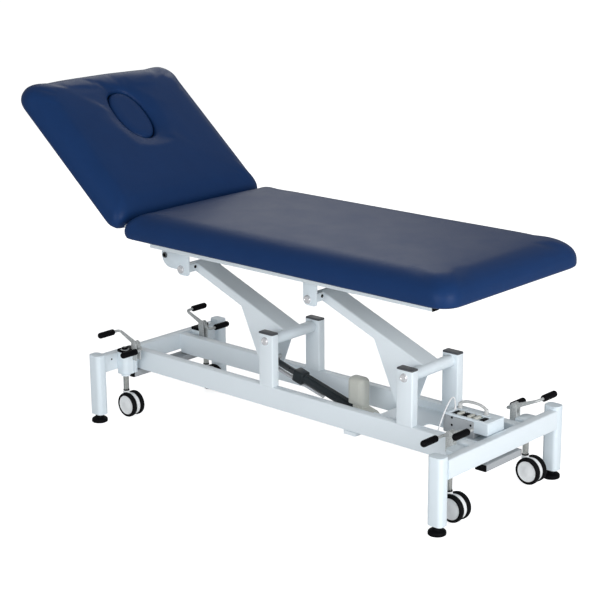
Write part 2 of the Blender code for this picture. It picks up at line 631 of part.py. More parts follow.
def make_top_frame(steel, parent):
    """Top rails with plugged foot ends, cross tubes with hanging brackets, and the hinge brackets."""
    rail_z = upper_pivots()[0][1] + TOP_RAIL_RISE + TOP_RAIL_HEIGHT / 2
    start = upper_pivots()[0][0] - TOP_RAIL_OVERHANG
    end = start + TOP_RAIL_LENGTH
    for side, across in SIDES:
        middle = (across * (TOP_RAILS_WIDTH - TOP_RAIL_THICK) / 2, rail_z)
        rail = steel_tube(TOP_RAIL_THICK, TOP_RAIL_HEIGHT, middle, start, end, "X")
        plug = rounded(TOP_RAIL_THICK - 2 * BITE, TOP_RAIL_HEIGHT - 2 * BITE, TUBE_CORNER, middle)
        join(rail, prism(plug, end - TOP_RAIL_THICK, end + 2 * BITE, "X"))
        finish(rail, f"top_rail_{side}", steel, parent)
    between = TOP_RAILS_WIDTH / 2 - TOP_RAIL_THICK - SEAT
    outer = BRACKETS_WIDTH / 2
    for number, (x, z) in enumerate(upper_pivots(), 1):
        tube_x = x - BRACKET_ROUND + BRACKET_ALONG / 2
        cross = steel_tube(CROSS_TUBE, CROSS_TUBE, (tube_x, rail_z), -between, between, "Y")
        for across in (-1, 1):
            plate = prism(bracket_outline(x, z, rail_z, number == 1), across * (outer - BRACKET_PLATE), across * outer)
            cut(plate, bar(PIN_RADIUS + RUNNING, (x, z), across * (outer - 2 * BRACKET_PLATE),
                           across * (outer + BRACKET_PLATE)))
            join(cross, plate)
        if number == 1:
            pin = spring_ends()[0]
            join(cross, bar(SPRING_PIN_RADIUS, pin, -outer - BOLT_HEAD, outer + BOLT_HEAD))
        finish(cross, f"cross_member_{number}", steel, parent)
    make_hinge_brackets(steel, parent)


def make_hinge_brackets(steel, parent):
    """Plates on the rails' ends, each with an ear and a hinge barrel between the two cushions."""
    hinge_x, hinge_z = hinge()
    rail_bottom = upper_pivots()[0][1] + TOP_RAIL_RISE
    rail_inner = TOP_RAILS_WIDTH / 2 - TOP_RAIL_THICK + SEAT
    rail_outer = TOP_RAILS_WIDTH / 2 - SEAT
    ear_start = HEAD_RAILS_WIDTH / 2 + 2 * BITE
    ear_end = EAR_WIDTH / 2
    foot = cushion_bottom() + 2 * BITE
    notch = hinge_z - EAR_NOTCH
    round_off = EAR_RISE * 0.9
    for side, across in SIDES:
        outline = [(rail_inner, rail_bottom + BITE), (rail_outer, rail_bottom + BITE), (rail_outer, foot)]
        outline += arc((ear_end - round_off, foot + round_off), round_off, 270, 360, 4)
        outline += arc((ear_end - round_off, hinge_z + EAR_RISE - round_off), round_off, 0, 90, 4)
        outline += [(ear_start, hinge_z + EAR_RISE), (ear_start, notch), (rail_inner, notch)]
        outline = [(across * a, b) for a, b in outline]
        plate = prism(outline, hinge_x - HINGE_PLATE / 2, hinge_x + HINGE_PLATE / 2, "X")
        barrel_end = ear_end - BARREL_INSET
        join(plate, bar(HINGE_BARREL_RADIUS, (hinge_x, hinge_z), across * (ear_start + BITE), across * barrel_end))
        cut(plate, bar(HINGE_PIN_RADIUS + RUNNING, (hinge_x, hinge_z), across * ear_start * 0.98,
                       across * (ear_end + BITE), steps=12))
        finish(plate, f"hinge_bracket_{side}", steel, parent)


def cushion(low_x, high_x, bottom, corners):
    """Upholstered pad: drawn-in underside, full sides, rolled top edge and a crown."""
    roll = CUSHION_THICK
    levels = ((0.17, 0.0), (0.057, 0.02), (0.014, 0.12), (0.0, 0.30), (0.029, 0.48), (0.129, 0.68), (0.30, 0.84),
              (0.514, 0.95), (0.714, 0.995))
    crown = ((0.17, 0.45), (0.29, 0.80), (0.415, 1.0))
    rings = [(roll * inset, bottom + roll * share) for inset, share in levels]
    narrow = min(CUSHION_WIDTH, high_x - low_x)
    rings += [(narrow * inset, bottom + roll + CUSHION_CROWN * share) for inset, share in crown]
    return loft([[(x, y, level) for x, y in pad_outline(low_x, high_x, inset, corners)] for inset, level in rings])


def pad_outline(low_x, high_x, inset, corners):
    """Plan of a pad with one corner radius at each end; straight sides carry points of their own."""
    half = CUSHION_WIDTH / 2 - inset
    points = []
    low = low_x + inset
    high = high_x - inset
    shrink = 1.0 - inset / CUSHION_WIDTH
    low_round = corners[0] * shrink
    high_round = corners[1] * shrink
    points += arc((high - high_round, half - high_round), high_round, 0, 90, 6)
    points += arc((low + low_round, half - low_round), low_round, 90, 180, 6)
    points += arc((low + low_round, low_round - half), low_round, 180, 270, 6)
    points += arc((high - high_round, high_round - half), high_round, 270, 360, 6)
    return points


def oval(length, width, middle, steps=28):
    """Oval outline, a little fuller than an ellipse."""
    points = []
    for step in range(steps):
        angle = 2 * math.pi * (step + 0.5) / steps
        c, s = math.cos(angle), math.sin(angle)
        points.append((middle + length / 2 * math.copysign(abs(c) ** 0.9, c),
                       width / 2 * math.copysign(abs(s) ** 0.9, s)))
    return points


def make_cushions(navy, top, head, plug_pivot):
    """Body cushion, head cushion with its face hole, and the plug in the hole."""
    hinge_x = hinge()[0]
    body_start = hinge_x + HINGE_BARREL_RADIUS + SIDE_PLAY
    body = cushion(body_start, body_start + BODY_LENGTH, cushion_bottom(), (HINGE_CORNER, FOOT_CORNER))
    finish(body, "body_cushion", navy, top)

    pad = cushion(-HEAD_GAP - HEAD_LENGTH, -HEAD_GAP, -HINGE_RISE, (HEAD_CORNER, HINGE_CORNER))
    middle = -HEAD_GAP - PLUG_ALONG
    surface = CUSHION_THICK - HINGE_RISE + CUSHION_CROWN
    hole = loft([[(x, y, level) for x, y in oval(PLUG_LENGTH + 2 * grow, PLUG_WIDTH + 2 * grow, middle)]
                 for grow, level in ((PLUG_GAP, -2 * CUSHION_THICK), (PLUG_GAP, surface - DISH_DEPTH),
                                     (0.18 * DISH_WIDTH, surface - 0.43 * DISH_DEPTH),
                                     (0.5 * DISH_WIDTH, surface - 0.07 * DISH_DEPTH),
                                     (DISH_WIDTH, surface + 0.29 * DISH_DEPTH))])
    cut(pad, hole)
    finish(pad, "head_cushion", navy, head, in_table=False)
    levels = ((0.6 * PLUG_ROUND, -HINGE_RISE), (0.0, 0.8 * PLUG_ROUND - HINGE_RISE), (0.0, surface - 1.8 * PLUG_ROUND),
              (0.3 * PLUG_ROUND, surface - PLUG_ROUND), (PLUG_ROUND, surface - 0.5 * PLUG_ROUND),
              (3 * PLUG_ROUND, surface - 0.3 * PLUG_ROUND))
    plug = loft([[(x, y, level) for x, y in oval(PLUG_LENGTH - 2 * inset, PLUG_WIDTH - 2 * inset, 0.0)]
                 for inset, level in levels])
    finish(plug, "face_plug", navy, plug_pivot, in_table=False)


def make_head_frame(steel, head):
    """Head rails with hinge tabs and pins, and the cross tube that holds the spring's upper end."""
    under = -HINGE_RISE - SEAT
    level = under - HEAD_RAIL / 2
    low = under - HEAD_RAIL
    for side, across in SIDES:
        middle = across * (HEAD_RAILS_WIDTH - HEAD_RAIL) / 2
        start = HEAD_GAP + 2 * BITE
        rail = steel_tube(HEAD_RAIL, HEAD_RAIL, (middle, level), -start - HEAD_RAIL_LENGTH, -start, "X")
        tab_half = HEAD_RAIL / 2 - SIDE_PLAY
        tab_front = -HINGE_BARREL_RADIUS / 2
        tab_back = -HEAD_GAP + 2 * BITE
        tab = [(tab_front, HINGE_PIN_RADIUS), (tab_back, HINGE_PIN_RADIUS), (tab_back, under - SIDE_PLAY),
               (-start - 6 * BITE, under - SIDE_PLAY), (-start - 6 * BITE, low + SIDE_PLAY), (tab_front, low + SIDE_PLAY)]
        join(rail, prism(tab, middle - tab_half, middle + tab_half))
        join(rail, bar(HINGE_BARREL_RADIUS, (0.0, 0.0), middle - tab_half + BITE / 4, middle + tab_half - BITE / 4))
        join(rail, bar(HINGE_PIN_RADIUS, (0.0, 0.0), middle, across * (EAR_WIDTH / 2 - BARREL_INSET - 2 * BITE), steps=12))
        finish(rail, f"head_rail_{side}", steel, head, in_table=False)
    between = HEAD_RAILS_WIDTH / 2 - HEAD_RAIL - SEAT
    anchor = (-SPRING_ANCHOR_ALONG, -HINGE_RISE - SPRING_ANCHOR_DROP)
    cross = steel_tube(HEAD_RAIL, HEAD_RAIL, (-SPRING_ANCHOR_ALONG, level), -between, between, "Y")
    lug_half = CLEVIS_ROUND - BITE / 2
    for across in (-1, 1):
        start = across * (PIN_RADIUS + 3 * SIDE_PLAY)
        outline = arc(anchor, CLEVIS_ROUND, 180, 360, 8)
        outline += [(anchor[0] + lug_half, low + WALL / 2), (anchor[0] - lug_half, low + WALL / 2)]
        join(cross, prism(outline, start, start + across * CLEVIS_PLATE))
        join(cross, bar(PIN_RADIUS, anchor, start + across * CLEVIS_PLATE / 2, start + across * CLEVIS_PLATE * 2))
    finish(cross, "head_cross_tube", steel, head, in_table=False)


def make_spring(charcoal, dark_steel):
    """Gas spring between the first bracket's wings and the head frame."""
    low, high = spring_ends()
    length, tilt = span(low, high)
    body = pivot("spring_pivot", (low[0], 0.0, low[1]), tilt)
    eye_radius = SPRING_PIN_RADIUS * 2
    half = PIN_RADIUS + BITE
    cylinder = bar(eye_radius, (0.0, 0.0), -half, half, steps=20)
    join(cylinder, turned(((SPRING_RADIUS * 0.6, -eye_radius + BITE), (SPRING_RADIUS, -eye_radius - SPRING_PIN_RADIUS),
                           (SPRING_RADIUS, -SPRING_BODY + 4 * BITE), (SPRING_RADIUS * 0.85, -SPRING_BODY)), (0.0, 0.0),
                          "X", 20))
    cut(cylinder, bar(SPRING_PIN_RADIUS + RUNNING, (0.0, 0.0), -2 * half, 2 * half, steps=16),
        bar(SPRING_ROD_RADIUS + RUNNING, (0.0, 0.0), -SPRING_BODY - BITE, -SPRING_BORE, "X", 12))
    finish(cylinder, "spring_cylinder", charcoal, body, in_table=False)
    rod = bar(SPRING_ROD_RADIUS, (0.0, 0.0), -length + PIN_RADIUS, -SPRING_ROD_START, "X", 12)
    join(rod, bar(SPRING_EYE_RADIUS, (-length, 0.0), -PIN_RADIUS, PIN_RADIUS, steps=20))
    finish(rod, "spring_rod", dark_steel, body, in_table=False)


def make_castor(end, out, side, across, chrome, hood_plastic, tyre, dark_steel):
    """Sliding stem with its drive dog, swivel fork, twin wheels and the rocker pedal that lowers them."""
    stem_x = out * (BASE_LENGTH / 2 - STEM_INSET)
    stem_y = across * STEM_Y
    pedal_x = out * (BASE_LENGTH / 2 - PEDAL_INSET)
    slider = pivot(f"castor_slide_{end}_{side}", (stem_x, stem_y, FORK_TOP))
    drive = (pedal_x + out * DRIVE_REACH * math.cos(PEDAL_TILT), PEDAL_Z + DRIVE_REACH * math.sin(PEDAL_TILT))
    dog_half = DRIVE_RADIUS + SIDE_PLAY + DOG_WALL
    stem = bar(STEM_RADIUS, (stem_x, stem_y), FORK_TOP + SEAT, drive[1] + dog_half - BITE, "Z", 20)
    dog_end = drive[0] + out * (DRIVE_RADIUS + BITE)
    dog_start = stem_x - out * STEM_RADIUS / 2
    slot_start = drive[0] - out * (2 * DRIVE_RADIUS)
    dog_thick = STEM_RADIUS * 0.65
    join(stem, block((min(dog_start, dog_end), stem_y - dog_thick, drive[1] - dog_half),
                     (max(dog_start, dog_end), stem_y + dog_thick, drive[1] + dog_half)))
    slot_end = dog_end + out * BITE
    slot_half = DRIVE_RADIUS + SIDE_PLAY
    cut(stem, block((min(slot_start, slot_end), stem_y - STEM_RADIUS, drive[1] - slot_half),
                    (max(slot_start, slot_end), stem_y + STEM_RADIUS, drive[1] + slot_half)),
        bar(SPIGOT_RADIUS + RUNNING, (stem_x, stem_y), FORK_TOP - BITE, FORK_TOP + SPIGOT_LENGTH + 2 * BITE, "Z", 16))
    finish(stem, f"castor_stem_{end}_{side}", chrome, slider)

    swivel = pivot(f"castor_swivel_{end}_{side}", (stem_x, stem_y, FORK_TOP))
    axle = (stem_x + CASTOR_TRAIL, WHEEL_Z)
    hood_half = HOOD_WIDTH / 2
    hood = [(stem_x + HUB_RADIUS, FORK_TOP - 2 * BITE), (stem_x - HUB_RADIUS, FORK_TOP - 2 * BITE)]
    hood += arc(axle, 0.9 * WHEEL_RADIUS, 180, 430, 18)
    fork = prism(hood, stem_y - hood_half, stem_y + hood_half)
    join(fork, bar(HUB_RADIUS, (stem_x, stem_y), WHEEL_Z + WHEEL_RADIUS + BITE, FORK_TOP, "Z", 20),
         bar(SPIGOT_RADIUS, (stem_x, stem_y), FORK_TOP - BITE, FORK_TOP + SPIGOT_LENGTH, "Z", 16))
    cut(fork, bar(AXLE_RADIUS + RUNNING, axle, stem_y - HOOD_WIDTH, stem_y + HOOD_WIDTH))
    finish(fork, f"castor_fork_{end}_{side}", hood_plastic, swivel)

    roll = pivot(f"castor_axle_{end}_{side}", (axle[0], stem_y, axle[1]))
    wheels = bar(AXLE_RADIUS, axle, stem_y - hood_half - WHEEL_WIDTH / 2, stem_y + hood_half + WHEEL_WIDTH / 2)
    for face in (-1, 1):
        start = hood_half + 3 * SIDE_PLAY
        face_level = start + WHEEL_WIDTH
        profile = ((WHEEL_RADIUS * 0.45, start), (WHEEL_RADIUS * 0.95, start), (WHEEL_RADIUS, start + 3 * BITE),
                   (WHEEL_RADIUS, face_level - 4 * BITE), (WHEEL_RADIUS * 0.94, face_level),
                   (WHEEL_RADIUS * 0.78, face_level), (WHEEL_RADIUS * 0.72, face_level - 3 * BITE),
                   (WHEEL_RADIUS * 0.28, face_level - BITE))
        join(wheels, turned([(radius, stem_y + face * level) for radius, level in profile], axle, steps=20))
    finish(wheels, f"castor_wheels_{end}_{side}", tyre, roll)

    rocker = pivot(f"pedal_pivot_{end}_{side}", (pedal_x, across * CLEVIS_Y, PEDAL_Z), -out * PEDAL_TILT)
    plate_half = PEDAL_PLATE / 2
    pedal = bar(CLEVIS_ROUND, (0.0, 0.0), -plate_half, plate_half, steps=16)
    arms = rounded(PEDAL_LONG + PEDAL_SHORT + 4 * PEDAL_PIN_RADIUS, 2.4 * PEDAL_PIN_RADIUS, 1.1 * PEDAL_PIN_RADIUS,
                   (out * (PEDAL_LONG - PEDAL_SHORT) / 2, 0.0))
    join(pedal, prism(arms, BITE / 2 - plate_half, plate_half - BITE / 2))
    pin_half = plate_half + 4 * SIDE_PLAY + CLEVIS_PLATE + BITE
    join(pedal, bar(PEDAL_PIN_RADIUS, (0.0, 0.0), -pin_half, pin_half, steps=8))
    stub_end = across * (STEM_Y + STEM_RADIUS / 2 - CLEVIS_Y)
    join(pedal, bar(DRIVE_RADIUS, (out * DRIVE_REACH, 0.0), 0.0, stub_end, steps=8))
    start = across * (GRIP_ROOT - CLEVIS_Y)
    stop = start + across * GRIP_LENGTH
    soft = across * GRIP_RADIUS / 3
    for reach in (out * PEDAL_LONG, -out * PEDAL_SHORT):
        join(pedal, bar(PEDAL_PIN_RADIUS, (reach, 0.0), 0.0, start + soft, steps=8),
             turned(((GRIP_RADIUS * 0.7, start), (GRIP_RADIUS, start + soft), (GRIP_RADIUS, stop - soft),
                     (GRIP_RADIUS * 0.7, stop)), (reach, 0.0)))
    finish(pedal, f"pedal_{end}_{side}", dark_steel, rocker, in_table=False)


def make_controls(steel, grey, cable, thin_cable, table):
    """Shelf between the rails at the foot end, with the control box and its two leads."""
    floor = RAIL_TOP - SHELF_DROP
    start = LIFT_X + LIFT_PITCH - SHELF_AHEAD
    end = BASE_LENGTH / 2 - BEAM_THICK - SEAT
    half = RAILS_WIDTH / 2 - RAIL_THICK - SEAT
    box_start = start + BOX_HEAD_GAP
    box_end = end - BOX_FOOT_GAP
    box_length = box_end - box_start
    shelf = block((start, -half, floor - SHELF_THICK), (end, half, RAIL_TOP))
    slot_middle = (box_start + SHELF_SLOT_LAP - SHELF_SLOT_LENGTH / 2, SHELF_SLOT_Y)
    slot = rounded(SHELF_SLOT_LENGTH, SHELF_SLOT_WIDTH, SHELF_SLOT_WIDTH / 4, slot_middle)
    cut(shelf, block((start - BITE, SHELF_THICK - half, floor), (end + BITE, half - SHELF_THICK, RAIL_TOP + BITE)),
        prism(slot, floor - 2 * SHELF_THICK, floor + SHELF_THICK, "Z"))
    finish(shelf, "control_shelf", steel, table)

    middle = ((box_start + box_end) / 2, BOX_MIDDLE_Y)
    bottom = floor + SEAT
    box = loft([[along_axis("Z", a, b, level) for a, b in rounded(box_length - 2 * inset, BOX_WIDTH - 2 * inset,
                                                                  BOX_CORNER, middle)]
                for inset, level in ((BITE, bottom), (0.0, bottom + 2 * BITE), (0.0, bottom + BOX_HEIGHT * 0.62),
                                     (4 * BITE, bottom + BOX_HEIGHT * 0.66), (6 * BITE, bottom + BOX_HEIGHT - 3 * BITE),
                                     (9 * BITE, bottom + BOX_HEIGHT))])
    sockets = rounded(box_length * 0.62, BOX_WIDTH * 0.34, BOX_WIDTH * 0.15,
                      (middle[0] - box_length * 0.063, middle[1] - BOX_WIDTH * 0.075))
    cut(box, prism(sockets, bottom + BOX_HEIGHT * 0.78, bottom + BOX_HEIGHT + BITE, "Z"),
        block((box_end - BOX_OVERHANG, BOX_MIDDLE_Y - BOX_WIDTH, bottom - BITE),
              (box_end + BITE, BOX_MIDDLE_Y + BOX_WIDTH, bottom + BOX_STEP)))
    finish(box, "control_box", grey, table)

    top = bottom + BOX_HEIGHT + SEAT
    lead_y = BOX_MIDDLE_Y + BOX_WIDTH * 0.25
    loop_start = box_start + box_length * 0.10
    loop_end = box_end - box_length * 0.31
    loop = ((loop_start, lead_y, top), (loop_start, lead_y, top + LOOP_RISE),
            (loop_end, lead_y, top + LOOP_RISE), (loop_end, lead_y, top))
    make_cable("cable_loop", loop, THICK_CABLE, cable, table)
    arch_start = box_start + 2 * THICK_CABLE
    arch_end = box_start + 3 * THICK_CABLE
    arch_y = SHELF_SLOT_Y - SHELF_SLOT_WIDTH
    arch = ((arch_start, arch_y, floor + SEAT), (arch_start, arch_y / 2, floor + ARCH_RISE),
            (arch_end, BOX_MIDDLE_Y, top + ARCH_RISE), (arch_end, BOX_MIDDLE_Y, top))
    make_cable("cable_thin", arch, THIN_CABLE, thin_cable, table)


def make_cable(name, knots, radius, material, table):
    """Round lead along a smooth curve that stands square on both of its ends."""
    root = Vector((0.0, 0.0, 2 * radius))
    start, rise, fall, stop = (Vector(knot) for knot in knots)
    points = [start, *interpolate_bezier(start + root, rise, fall, stop + root, 14), stop]
    data = bpy.data.curves.new(name, "CURVE")
    data.dimensions = "3D"
    data.bevel_depth = radius
    data.bevel_resolution = 2
    data.use_fill_caps = True
    spline = data.splines.new("POLY")
    spline.points.add(len(points) - 1)
    for knot, point in zip(spline.points, points):
        knot.co = (*point, 1.0)
    made = bpy.data.objects.new(name, data)
    bpy.context.scene.collection.objects.link(made)
    data.materials.append(material)
    made.parent = table


def centre_on_origin(table):
    """Slide the table along X until the middle of its outline is over the origin."""
    bpy.context.view_layer.update()
    ends = [(made.matrix_world @ vertex.co).x for made in bpy.data.objects if made.type == "MESH"
            for vertex in made.data.vertices]
    table.location.x = -(min(ends) + max(ends)) / 2


def main():
    for old in list(bpy.data.objects):
        bpy.data.objects.remove(old)
    white = paint("white powder coat", (0.82, 0.84, 0.86), 0.35)
    navy = paint("navy upholstery", (0.012, 0.035, 0.115), 0.45)
    rubber = paint("black rubber", (0.02, 0.02, 0.022), 0.7)
    cap_plastic = paint("dark grey plastic", (0.09, 0.09, 0.10), 0.5)
    charcoal = paint("charcoal housing", (0.06, 0.06, 0.065), 0.5)
    beige = paint("beige motor plastic", (0.55, 0.52, 0.47), 0.5)
    dark_steel = paint("dark steel", (0.10, 0.10, 0.11), 0.35, 1.0)
    chrome = paint("chrome", (0.80, 0.80, 0.82), 0.12, 1.0)
    hood_plastic = paint("light grey plastic", (0.52, 0.53, 0.55), 0.45)
    tyre = paint("dark tyre", (0.05, 0.05, 0.055), 0.6)
    grey = paint("grey control box", (0.42, 0.43, 0.45), 0.5)
    cable = paint("light grey cable", (0.62, 0.62, 0.63), 0.5)
    thin_cable = paint("white cable", (0.80, 0.80, 0.80), 0.5)

    table = pivot("table", (0.0, 0.0, 0.0))
    make_legs(white, rubber, table)
    make_base(white, cap_plastic, table)
    make_controls(white, grey, cable, thin_cable, table)
    for number, (x, z) in enumerate(lower_pivots(), 1):
        make_arm(number, white, pivot(f"lift_pivot_{number}", (x, 0.0, z), ARM_ANGLE))
    make_actuator(charcoal, beige, dark_steel, white, table)
    x, z = upper_pivots()[0]
    top = pivot("top_pivot", (x, 0.0, z))
    make_top_frame(white, top)
    hinge_x, hinge_z = hinge()
    head = pivot("head_pivot", (hinge_x, 0.0, hinge_z), HEAD_TILT)
    reach = HEAD_GAP + PLUG_ALONG
    plug_place = (hinge_x - reach * math.cos(HEAD_TILT), 0.0, hinge_z + reach * math.sin(HEAD_TILT))
    make_cushions(navy, top, head, pivot("plug_pivot", plug_place, HEAD_TILT))
    make_head_frame(white, head)
    make_spring(charcoal, dark_steel)
    for end, out in ENDS:
        for side, across in SIDES:
            make_castor(end, out, side, across, chrome, hood_plastic, tyre, dark_steel)
    centre_on_origin(table)


if __name__ == "__main__":
    main()
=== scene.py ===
"""Electric examination table: its finished pieces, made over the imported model."""

import json
import math

import bmesh
import bpy
from bpy.props import FloatProperty, FloatVectorProperty, IntProperty, PointerProperty
from mathutils import Matrix, Vector
from mathutils.geometry import interpolate_bezier


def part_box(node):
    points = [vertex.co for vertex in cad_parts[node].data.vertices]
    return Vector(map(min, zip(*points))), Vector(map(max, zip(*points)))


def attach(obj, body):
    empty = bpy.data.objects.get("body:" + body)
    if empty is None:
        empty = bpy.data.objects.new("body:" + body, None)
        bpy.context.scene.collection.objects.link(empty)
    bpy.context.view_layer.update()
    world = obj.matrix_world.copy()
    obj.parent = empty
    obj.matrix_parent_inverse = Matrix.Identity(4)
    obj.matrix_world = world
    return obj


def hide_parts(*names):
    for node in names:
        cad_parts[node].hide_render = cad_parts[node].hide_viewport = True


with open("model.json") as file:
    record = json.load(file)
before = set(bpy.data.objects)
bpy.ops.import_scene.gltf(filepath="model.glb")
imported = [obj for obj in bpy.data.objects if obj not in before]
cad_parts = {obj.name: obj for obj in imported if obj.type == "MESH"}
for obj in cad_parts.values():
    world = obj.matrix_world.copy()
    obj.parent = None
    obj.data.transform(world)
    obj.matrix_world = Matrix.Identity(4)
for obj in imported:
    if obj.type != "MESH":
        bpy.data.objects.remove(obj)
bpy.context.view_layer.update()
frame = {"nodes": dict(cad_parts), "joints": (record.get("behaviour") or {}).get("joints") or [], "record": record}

bl_info = {
    "name": "Examination table",
    "version": (1, 0, 0),
    "blender": (4, 5, 0),
    "location": "View3D > Sidebar > Exam table",
    "description": "Builds the finished pieces of an electric examination table over its packed model",
    "category": "Object",
}

NODES = frame["nodes"]
JOINTS = {joint["name"]: joint for joint in frame["joints"]}
ENDS = (("head", -1), ("foot", 1))
SIDES = (("near", -1), ("far", 1))
CORNERS = [(end, out, side, across) for end, out in ENDS for side, across in SIDES]

HERE = Matrix.Identity(4)
ALONG_Y = Matrix.Rotation(math.radians(-90), 4, "X")
ALONG_X = Matrix.Rotation(math.radians(90), 4, "Y")
TOWARDS_HEAD = Matrix.Rotation(math.radians(-90), 4, "Y")
SIDE_ON = Matrix.Rotation(math.radians(90), 4, "X")
END_ON = Matrix(((0, 0, 1, 0), (1, 0, 0, 0), (0, 1, 0, 0), (0, 0, 0, 1)))

SEAT = 0.0003  # gap that touching pieces keep
TUBE_CORNER = 0.004
FINE_EDGE = 0.001
LEVER_EYE = (0.042, 0.130)  # eye of an arm's lever, along the arm and below it from the lower pivot
BRACKET_FACE = 0.098  # outer face of the hanging brackets, from the table's middle
FINISH_PREFIX = "finish_"  # keeps the finishes apart from the imported materials


def joint_place(name):
    return Vector(JOINTS[name]["pos_m"])


def slope_of(axis):
    """Tilt about Y of a line that leaves towards -X."""
    return math.atan2(axis[2], -axis[0])


LOWER = [joint_place("lift"), joint_place("lift_arm_2_turn")]
RISE = joint_place("top_level") - LOWER[0]
UPPER = [place + RISE for place in LOWER]
ARM_ANGLE = slope_of(RISE)
ARM_LENGTH = RISE.length
HINGE = joint_place("head_tilt")
HEAD_TILT = math.atan2(JOINTS["plug_lift"]["axis"][0], JOINTS["plug_lift"]["axis"][2])
HEAD_FRAME = Matrix.Translation(HINGE) @ Matrix.Rotation(HEAD_TILT, 4, "Y")
ACTUATOR_FRAME = (Matrix.Translation(joint_place("actuator_turn"))
                  @ Matrix.Rotation(slope_of(JOINTS["actuator_stroke"]["axis"]), 4, "Y"))
SPRING_FRAME = (Matrix.Translation(joint_place("spring_turn"))
                @ Matrix.Rotation(slope_of(JOINTS["spring_stroke"]["axis"]), 4, "Y"))


def length_property(label, what, value):
    return FloatProperty(name=label, description=what, default=value, unit="LENGTH")


class TableSizes(bpy.types.PropertyGroup):
    """Sizes of the finished pieces."""

    pad_grid: FloatProperty(name="Pad grid", description="Size of the squares that a pad's cover is made of",
                            default=0.0065, min=0.003, max=0.02, unit="LENGTH")
    pad_swell: FloatProperty(name="Pad swell", description="Furthest that the filling pushes a cover out",
                             default=0.005, min=0.0, max=0.02, unit="LENGTH")
    pad_pressure: FloatProperty(name="Pad pressure", description="Pressure of the filling on a cover",
                                default=4.0, min=0.0, max=20.0)
    leg_corner: length_property("Leg corner", "Radius of the legs' upright edges", 0.014)
    leg_dome: length_property("Leg top edge", "Radius of the legs' top edges", 0.002)
    foot_radius: length_property("Foot radius", "Radius of a levelling foot", 0.027)
    wheel_radius: length_property("Wheel radius", "Radius of a castor wheel over its tyre", 0.042)
    wheel_width: length_property("Wheel width", "Width of one wheel of a castor", 0.017)
    tyre_depth: length_property("Tyre depth", "Depth of a tyre's side wall", 0.009)
    stem_radius: length_property("Stem radius", "Radius of a castor's sliding stem", 0.0095)
    grip_radius: length_property("Grip radius", "Radius of a pedal's grip", 0.0105)
    grip_length: length_property("Grip length", "Length of a pedal's grip", 0.068)
    bolt_radius: length_property("Bolt radius", "Radius of a pivot bolt's head", 0.012)
    thick_lead: length_property("Thick lead", "Radius of the thick lead", 0.0045)
    thin_lead: length_property("Thin lead", "Radius of the thin lead", 0.0022)
    round_steps: IntProperty(name="Round steps", description="Sides of a turned piece",
                             default=48, min=12, max=96)


def colour_property(label, what, value):
    return FloatVectorProperty(name=label, description=f"Colour of {what}", subtype="COLOR", size=3,
                               default=value, min=0.0, max=1.0)


class TableColours(bpy.types.PropertyGroup):
    """Colours of the finishes."""

    white_coat: colour_property("Powder coat", "the steel frame", (0.74, 0.83, 0.89))
    upholstery: colour_property("Upholstery", "the cushions' cover", (0.0085, 0.034, 0.118))
    lining: colour_property("Lining", "the cloth under the cushions", (0.020, 0.020, 0.022))
    rubber: colour_property("Rubber", "feet, plugs and grips", (0.004, 0.004, 0.005))
    cap_plastic: colour_property("Post caps", "the post caps", (0.075, 0.080, 0.090))
    charcoal: colour_property("Actuator housing", "the actuator's housing", (0.020, 0.026, 0.030))
    motor_plastic: colour_property("Motor cover", "the motor's cover", (0.60, 0.61, 0.56))
    dark_steel: colour_property("Dark steel", "the actuator's rod", (0.10, 0.105, 0.11))
    chrome: colour_property("Chrome", "stems and bright rods", (0.78, 0.78, 0.80))
    stem_steel: colour_property("Stem steel", "the castors' stems", (0.50, 0.51, 0.49))
    castor_plastic: colour_property("Castor plastic", "wheel discs and hoods", (0.84, 0.86, 0.87))
    tyre: colour_property("Tyre", "the tyres", (0.006, 0.006, 0.007))
    pedal_steel: colour_property("Zinc", "pedals and their brackets", (0.46, 0.48, 0.48))
    control_plastic: colour_property("Control box", "the control box", (0.36, 0.38, 0.40))
    cable: colour_property("Thick lead", "the thick lead", (0.54, 0.55, 0.55))
    thin_cable: colour_property("Thin lead", "the thin lead", (0.80, 0.81, 0.82))
    floor: colour_property("Floor", "the floor", (0.90, 0.90, 0.90))


